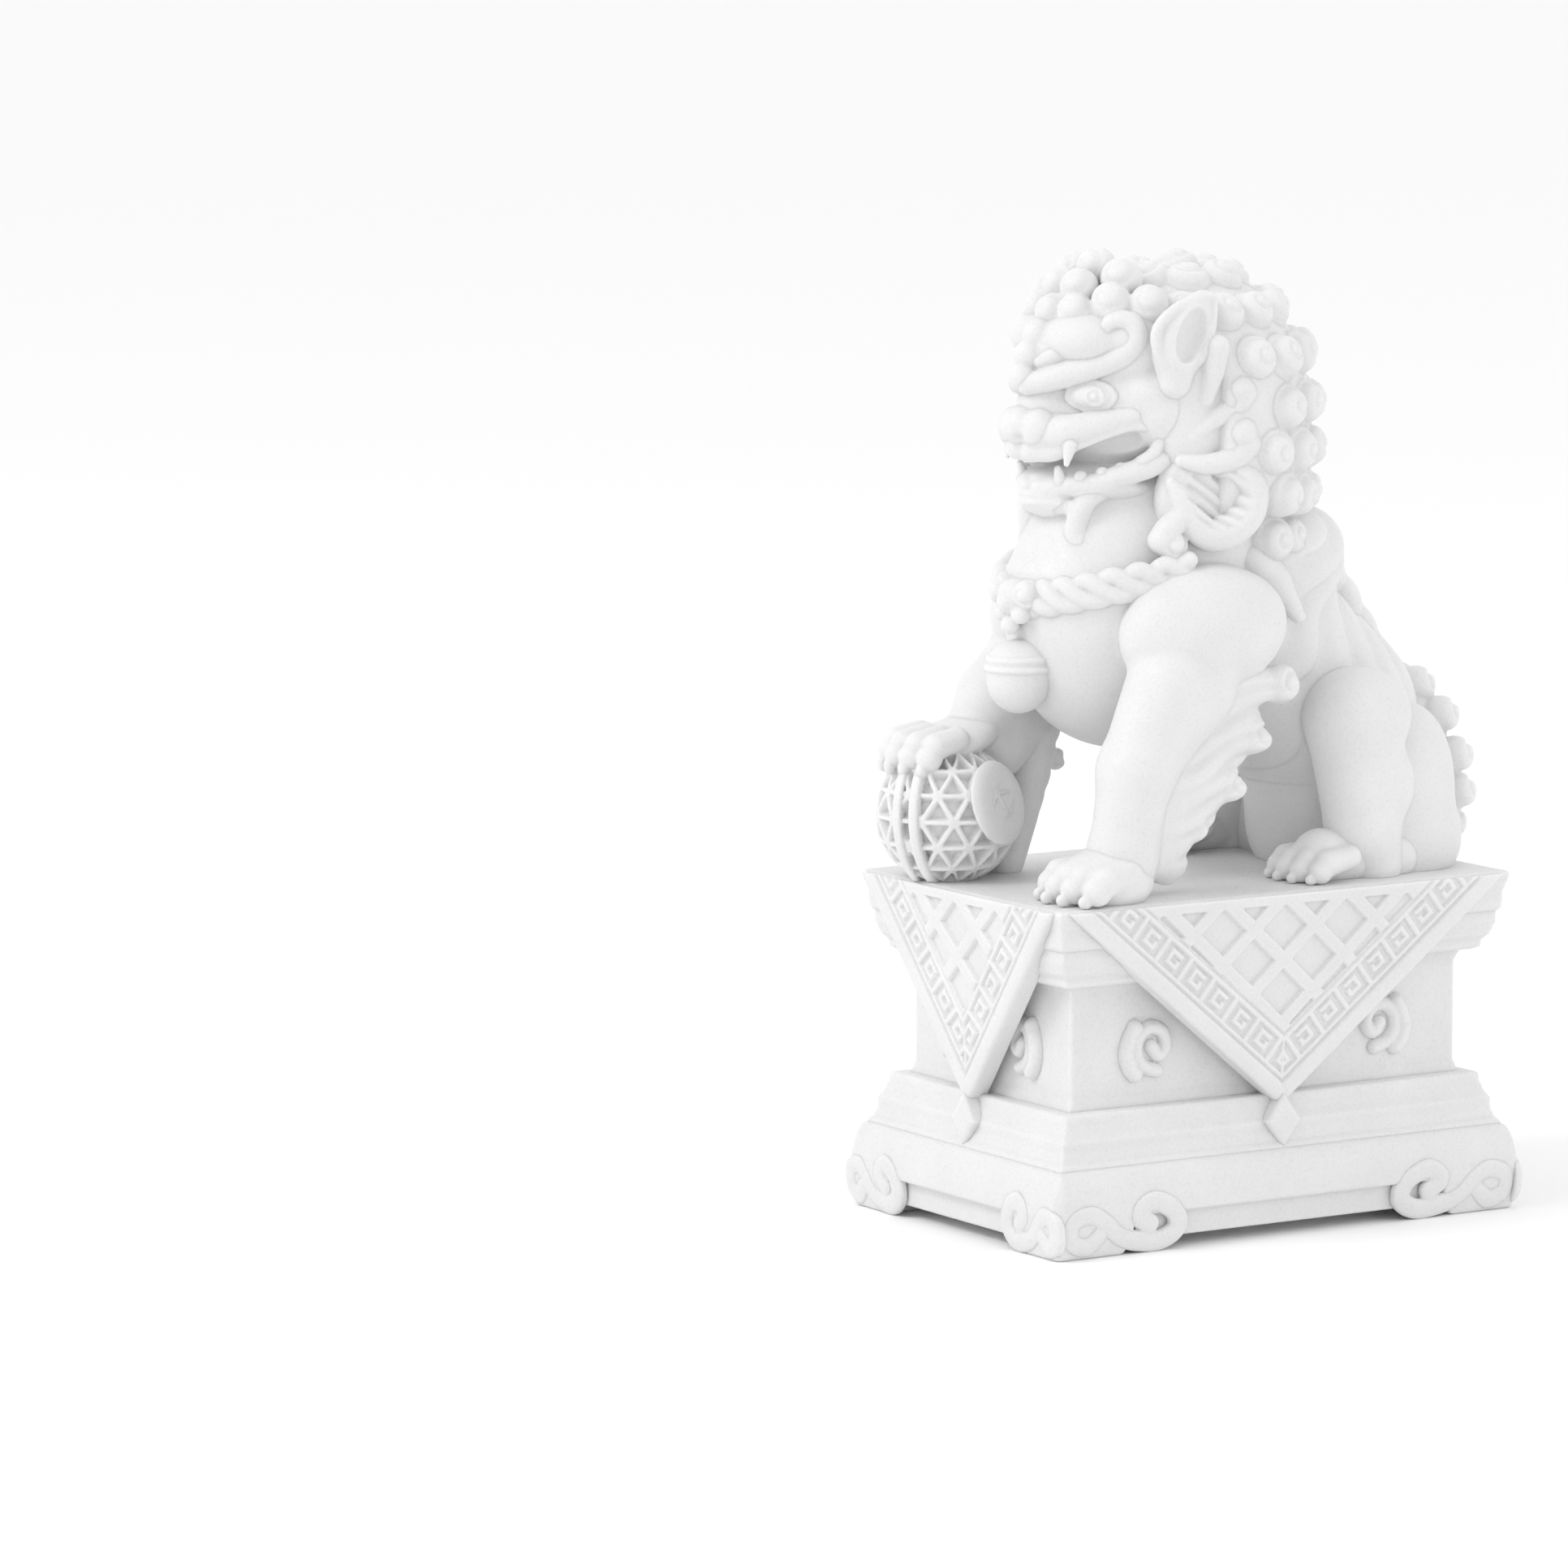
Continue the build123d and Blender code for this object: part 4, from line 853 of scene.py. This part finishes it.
def course(node, bottom, top, profile, material, corner=1.3, carve=None):
    """A moulded course: profile lists (height, inset from the plinth's outline)."""
    span_x, span_y = foot_half + 3.0
    start = np.floor(np.array((-span_x, -span_y, bottom - 2)) / PLINTH_FINE).astype(int)
    stop = np.ceil(np.array((span_x, span_y, top + 2)) / PLINTH_FINE).astype(int)
    x, y, z = (np.arange(a, b, dtype=np.float32) * PLINTH_FINE for a, b in zip(start, stop))
    inset = np.interp(z, [h for h, _ in profile], [i for _, i in profile]).astype(np.float32)
    plan = rounded_box(x[:, None], y[None, :], foot_half[0], foot_half[1], corner)
    body = plan[:, :, None] + inset[None, None, :]
    field = soft_max(body, np.maximum(bottom - z, z - top)[None, None, :].astype(np.float32), 0.5)
    if carve is not None:
        field = carve(field, x[:, None, None], y[None, :, None], z[None, None, :])
    piece = mesh_field(f"carved_{node}", field, start, PLINTH_FINE)
    finish_piece(piece, node, material)
    return piece


# Bracket feet: a sunk skirt between the corner feet, and a low arch under it.
SKIRT_TOP = 6.2
NOTCH_TOP = 1.9
NOTCH_FROM = {"side": 32.4, "front": 19.5}


def carve_feet(field, x, y, z):
    for across, along, half, reach in (
        (x, y, foot_half[0], NOTCH_FROM["side"]), (y, x, foot_half[1], NOTCH_FROM["front"])
    ):
        skirt = np.maximum(np.abs(along) - reach * 0.94, z - SKIRT_TOP)
        skirt = np.maximum(skirt, (half - 0.9) - np.abs(across))
        field = soft_max(field, -skirt, 0.5)
        arch = np.maximum(np.abs(along) - reach + 0.9 * z, z - NOTCH_TOP)
        arch = np.maximum(arch, (half - 9.0) - np.abs(across))
        field = soft_max(field, -arch, 0.5)
    return field


course(
    "plinth_foot", 0, foot_top,
    ((0, 0.1), (2.4, -0.25), (4.7, -0.6), (7.1, -0.8), (9.3, -0.6), (11.4, -0.1), (12.65, 0.45), (13.5, 1.0),
     (14.3, 2.0)),
    plinth_stone, carve=carve_feet,
)
course(
    "plinth_step", foot_top - 1.0, step_top,
    ((13.3, 1.5), (14.4, 1.7), (15.06, 2.4), (16.9, 2.95), (18.2, 2.95), (19.2, 3.6), (20.6, 4.1),
        (22.4, 4.4)),
    plinth_stone,
)
waist_inset = foot_half[0] - waist_half[0]
course(
    "plinth_waist", step_top - 1.0, waist_high[2],
    ((20, waist_inset - 0.6), (22.6, waist_inset - 0.5), (24.2, waist_inset), (41, waist_inset),
        (43.1, waist_inset - 0.4)),
    plinth_stone,
)
course(
    "plinth_cornice", waist_high[2] - 0.6, cornice_top,
    ((42.4, 5.2), (43.2, 4.1), (44.2, 4.1), (45.2, 3.2), (47.4, 2.45), (48.7, 2.55), (49.5, 2.2)),
    plinth_stone,
)
course(
    "plinth_slab", cornice_top - 0.6, deck,
    ((48.9, 2.2), (49.9, 1.8), (52.5, 1.65), (54.9, 0.9), (55.6, 0.9)),
    plinth_stone,
)


# ---------------------------------------------------------------- relief on flat faces
def face_place(side_word, lift=0.0):
    """Points (along, height, out) in the plane of one side of the plinth, put where it stands."""
    half = foot_half[0] if side_word in ("left", "right") else foot_half[1]

    def place(points):
        along, height, out = points[:, 0], points[:, 1], points[:, 2] + half + lift
        if side_word == "left":
            return np.column_stack((out, along, height))
        if side_word == "right":
            return np.column_stack((-out, -along, height))
        if side_word == "front":
            return np.column_stack((along, -out, height))
        return np.column_stack((-along, out, height))

    return place


def panel(name, low, high, distance, voxel, side_word):
    """A relief worked out in a face's own axes (along, height, out) and set on that side."""
    start = np.floor(np.asarray(low, float) / voxel).astype(int)
    stop = np.ceil(np.asarray(high, float) / voxel).astype(int)
    a, h, o = (np.arange(i, j, dtype=np.float32) * voxel for i, j in zip(start, stop))
    field = distance(a[:, None, None], h[None, :, None], o[None, None, :])
    piece = mesh_field(name, field.astype(np.float32), start, voxel, face_place(side_word))
    return piece


# Each flap hangs from the slab: a rounded hem, a band of key-fret and a field of sunk diamonds.
FLAP_TIP = 20.8
FLAP_OUT = -0.25
FLAP_TIP_OUT = -2.6
HEM = 2.9
BAND = 5.4
FRET_PITCH = 5.8
FRET_DEPTH = 0.6
LATTICE_ALONG = 11.9
LATTICE_UP = 10.6
LATTICE_PIT = 0.375
LATTICE_DEPTH = 0.8


def fret(u, v):
    """Square spiral key: 1 on the line, 0 in the sunk ground. u runs along, v across the band."""
    cell = u / FRET_PITCH
    p = (cell - np.floor(cell)) * 6.0
    q = v / BAND * 6.0
    line = np.zeros(np.broadcast(p, q).shape, dtype=np.float32)

    def bar(p0, p1, q0, q1):
        inside = np.minimum(
            np.minimum(p - p0, p1 - p), np.minimum(q - q0, q1 - q),
        )
        np.maximum(line, np.clip(inside * 3 + 0.5, 0, 1), out=line)

    bar(-0.2, 6.2, -0.4, 0.75)
    bar(-0.2, 6.2, 5.25, 6.4)
    bar(0.0, 1.0, 0.5, 5.6)
    bar(2.0, 5.0, 3.75, 4.65)
    bar(4.1, 5.0, 1.6, 4.6)
    bar(2.0, 4.6, 1.6, 2.45)
    bar(2.0, 2.9, 1.6, 3.3)
    return line


def make_flap(side_word):
    half_span = (slab_half[1] if side_word in ("left", "right") else slab_half[0]) - 1.6
    top = deck - 0.25
    slant = math.hypot(half_span, top - FLAP_TIP)
    sin_s, cos_s = (top - FLAP_TIP) / slant, half_span / slant

    def distance(a, h, o):
        # Distance in from the nearer slanting edge, and distance along it from the tip.
        inward = (h - FLAP_TIP) * cos_s - np.abs(a) * sin_s
        along = (h - FLAP_TIP) * sin_s + np.abs(a) * cos_s
        lean = np.clip((top - h) / (top - FLAP_TIP), 0, 1)
        face = FLAP_OUT + (FLAP_TIP_OUT - FLAP_OUT) * lean
        outline = np.maximum(-inward, h - top)
        hem_round = np.sqrt(np.maximum(1 - ((inward - HEM / 2) / (HEM / 2)) ** 2, 0)) * 0.55
        relief = np.where(inward < HEM, hem_round - 0.15, 0)
        v = inward - HEM - 0.35
        on_band = fade(v, -0.12, 0.1) * (1 - fade(v, BAND - 0.1, BAND + 0.12))
        centre_gap = 1 - fade(np.abs(a), 0.0, 0.5)
        lines = np.maximum(fret(along - 1.0, v), centre_gap)
        relief = relief - on_band * (1 - lines) * FRET_DEPTH
        groove = np.exp(-((v + 0.2) / 0.25) ** 2) + np.exp(-((v - BAND - 0.35) / 0.25) ** 2)
        relief = relief - 0.45 * groove
        field_zone = fade(v, BAND + 0.5, BAND + 0.8)
        s = (a + 0.8) / LATTICE_ALONG + (h - 50.0) / LATTICE_UP
        t = (a + 0.8) / LATTICE_ALONG - (h - 50.0) / LATTICE_UP
        off = np.maximum(np.abs(s - np.round(s)), np.abs(t - np.round(t)))
        pit = 1 - fade(off, LATTICE_PIT - 0.05, LATTICE_PIT + 0.01)
        relief = relief - field_zone * pit * LATTICE_DEPTH * (1 - fade(h, top - 1.9, top - 1.5))
        front = o - (face + relief)
        # The back slopes in behind the hem, so that it throws a shadow on the waist.
        behind = (face - 3.4 - np.clip(inward, 0, 12) * 0.45) - o
        return soft_max(soft_max(outline * 0.9, front, 0.35), behind, 0.4)

    piece = panel(
        f"carved_cloth_flap_{side_word}", (-half_span - 1.5, FLAP_TIP - 1.5, -10.5),
        (half_span + 1.5, deck + 1, 1.2),
        distance, RELIEF_FINE, side_word,
    )
    finish_piece(piece, f"cloth_flap_{side_word}", cloth_stone)

    def tab_distance(a, h, o):
        rhomb = np.abs(a) * 0.82 + np.abs(h - 18.4) * 0.62 - 2.75
        face = -1.7 + 0.35 * np.clip(-rhomb, 0, 0.9)
        return soft_max(soft_max(rhomb, o - face, 0.5), -4.6 - o, 0.2)

    piece = panel(
        f"carved_flap_tab_{side_word}", (-5, 12.5, -6), (5, 24.5, 1), tab_distance, RELIEF_FINE, side_word,
    )
    finish_piece(piece, f"flap_tab_{side_word}", cloth_stone)


for side_word in ("left", "right", "front", "back"):
    make_flap(side_word)


# Cloud scrolls on the bracket feet, and the emblems on the waist, are carved in relief.
def line_distance(a, h, points, radius):
    d = None
    for (a0, h0), (a1, h1) in zip(points[:-1], points[1:]):
        da, dh = a1 - a0, h1 - h0
        t = np.clip(((a - a0) * da + (h - h0) * dh) / max(da * da + dh * dh, 1e-6), 0, 1)
        new = np.sqrt((a - a0 - t * da) ** 2 + (h - h0 - t * dh) ** 2) - radius
        d = new if d is None else np.minimum(d, new)
    return d


def curve(points, steps=5):
    flat = np.column_stack((np.asarray(points, float), np.zeros(len(points))))
    return smooth_path(flat, 1.0, steps)[0][:, :2]


def raised(flat_distance, o, ground, height, radius):
    """A rounded bead of relief over a ground, from a flat distance to its middle line."""
    inside = np.clip(-flat_distance / radius, 0, 1)
    crown = ground + height * np.sqrt(np.maximum(1 - (1 - inside) ** 2, 0)) - 0.35
    return soft_max(soft_max(flat_distance * 0.9, o - crown, 0.25), (ground - 1.2) - o, 0.2)


SCROLL = (
    (27.0, 4.6), (29.0, 6.4), (26.6, 8.2), (23.2, 6.6), (22.4, 3.6), (25.2, 1.7), (29.6, 2.2), (32.4, 3.6),
    (34.2, 5.6), (36.8, 7.0), (39.6, 6.0), (39.6, 3.2), (37.2, 2.0), (35.4, 3.6),
)


def scroll_points(inner, outer):
    first, last = min(p[0] for p in SCROLL), max(p[0] for p in SCROLL)
    return [(inner + (a - first) / (last - first) * (outer - inner), h) for a, h in SCROLL]


scroll_parts = []
for side_word in ("left", "right", "front", "back"):
    side_face = side_word in ("left", "right")
    inner, outer = (22.0, 42.4) if side_face else (16.2, 29.6)
    path = curve(scroll_points(inner, outer))
    for hand in (-1, 1):
        def scroll(a, h, o, hand=hand, path=path):
            ground = 0.15 + 0.09 * h
            return raised(line_distance(a * hand, h, path, 1.7), o, ground, 0.65, 1.7)

        low, high = sorted((hand * (inner - 2), hand * (outer + 2)))
        scroll_parts.append(panel(
            f"scroll_{side_word}_{len(scroll_parts)}", (low, -0.4, -2.4), (high, 10.4, 1.4),
            scroll, RELIEF_FINE * 1.3, side_word,
        ))


def join(parts, name):
    """One object from several, kept where they are."""
    points, quads, count = [], [], 0
    for part in parts:
        mesh = part.data
        co = np.empty(len(mesh.vertices) * 3, np.float32)
        mesh.vertices.foreach_get("co", co)
        loops = np.empty(len(mesh.loops), np.int32)
        mesh.loops.foreach_get("vertex_index", loops)
        points.append(co.reshape(-1, 3))
        quads.append(loops.reshape(-1, 4) + count)
        count += len(mesh.vertices)
        bpy.data.objects.remove(part)
    return mesh_object(name, np.vstack(points), np.vstack(quads))


finish_piece(join(scroll_parts, "carved_foot_scrolls"), "foot_scrolls", plinth_stone)

EMBLEM_CURL = (
    (-0.6, 0.2), (-1.9, -1.2), (-3.3, 0.2), (-2.6, 2.5), (-0.2, 3.3), (2.0, 1.8), (2.4, -0.8), (1.0, -2.9),
    (-1.6, -3.8),
)
EMBLEM_BUD = ((2.6, 3.4), (3.6, 1.6), (4.2, -0.6), (3.6, -2.8), (2.6, -4.0))
emblem_parts = []
for side_word in ("left", "right", "front", "back"):
    side_face = side_word in ("left", "right")
    at = 23.0 if side_face else 10.0
    scale = 1.0 if side_face else 0.82
    for hand in (-1, 1):
        curl_line = curve([(a * scale, h) for a, h in EMBLEM_CURL])
        bud_line = curve([(a * scale, h) for a, h in EMBLEM_BUD])

        def emblem(a, h, o, hand=hand, at=at, curl_line=curl_line, bud_line=bud_line):
            a = a * hand - at
            h = h - 31.5
            ground = -waist_inset
            first = raised(line_distance(a, h, curl_line, 1.3), o, ground, 1.7, 1.3)
            second = raised(line_distance(a, h, bud_line, 1.5), o, ground, 2.0, 1.5)
            return soft_min(first, second, 0.3)

        low, high = sorted((hand * (at - 6), hand * (at + 7)))
        emblem_parts.append(panel(
            f"emblem_{side_word}_{len(emblem_parts)}", (low, 25.5, -waist_inset - 2),
            (high, 37.5, -waist_inset + 3),
            emblem, RELIEF_FINE * 1.3, side_word,
        ))
finish_piece(join(emblem_parts, "carved_waist_emblems"), "waist_emblems", plinth_stone)


# ================================================================== floor, light, camera
def plain(name, colour, roughness):
    material = bpy.data.materials.new(name)
    material.use_nodes = True
    shader = material.node_tree.nodes["Principled BSDF"]
    shader.inputs["Base Color"].default_value = (*colour, 1)
    shader.inputs["Roughness"].default_value = roughness
    return material


bpy.ops.mesh.primitive_plane_add(size=12, location=(0, 0, 0))
floor = bpy.context.object
floor.name = "pale_floor"
floor.data.materials.append(plain("pale_floor", (0.95, 0.95, 0.95), 0.9))

world = bpy.data.worlds.new("soft_studio")
world.use_nodes = True
world.node_tree.nodes["Background"].inputs["Color"].default_value = (1.0, 1.0, 1.0, 1)
world.node_tree.nodes["Background"].inputs["Strength"].default_value = 1.0
bpy.context.scene.world = world
bpy.context.scene.view_settings.view_transform = "Standard"


def soft_light(name, at, aim, size, power):
    light = bpy.data.lights.new(name, "AREA")
    light.shape = "DISK"
    light.size = size
    light.energy = power
    lamp = bpy.data.objects.new(name, light)
    bpy.context.scene.collection.objects.link(lamp)
    lamp.location = at
    lamp.rotation_mode = "QUATERNION"
    lamp.rotation_quaternion = (Vector(aim) - Vector(at)).to_track_quat("-Z", "Y")


soft_light("key", (-0.1, -0.95, 0.95), (0, 0, 0.09), 0.5, 4.2)
soft_light("fill", (0.9, 0.7, 0.5), (0, 0, 0.09), 0.9, 1.2)

AZIMUTH, ELEVATION = math.radians(57.967), math.radians(7.716)
camera_data = bpy.data.cameras.new("photo_view")
camera_data.sensor_width = 36
camera_data.lens = 192.45
camera_data.clip_start, camera_data.clip_end = 0.05, 20
camera = bpy.data.objects.new("photo_view", camera_data)
bpy.context.scene.collection.objects.link(camera)
right = Vector((math.cos(AZIMUTH), math.sin(AZIMUTH), 0))
back = Vector((
    math.sin(AZIMUTH) * math.cos(ELEVATION), -math.cos(AZIMUTH) * math.cos(ELEVATION), math.sin(ELEVATION),
))
up = back.cross(right)
camera.matrix_world = Matrix.Translation(Vector((1.109746, -0.771398, 0.252539))) @ Matrix((
    (right.x, up.x, back.x), (right.y, up.y, back.y), (right.z, up.z, back.z),
)).to_4x4()
bpy.context.scene.camera = camera
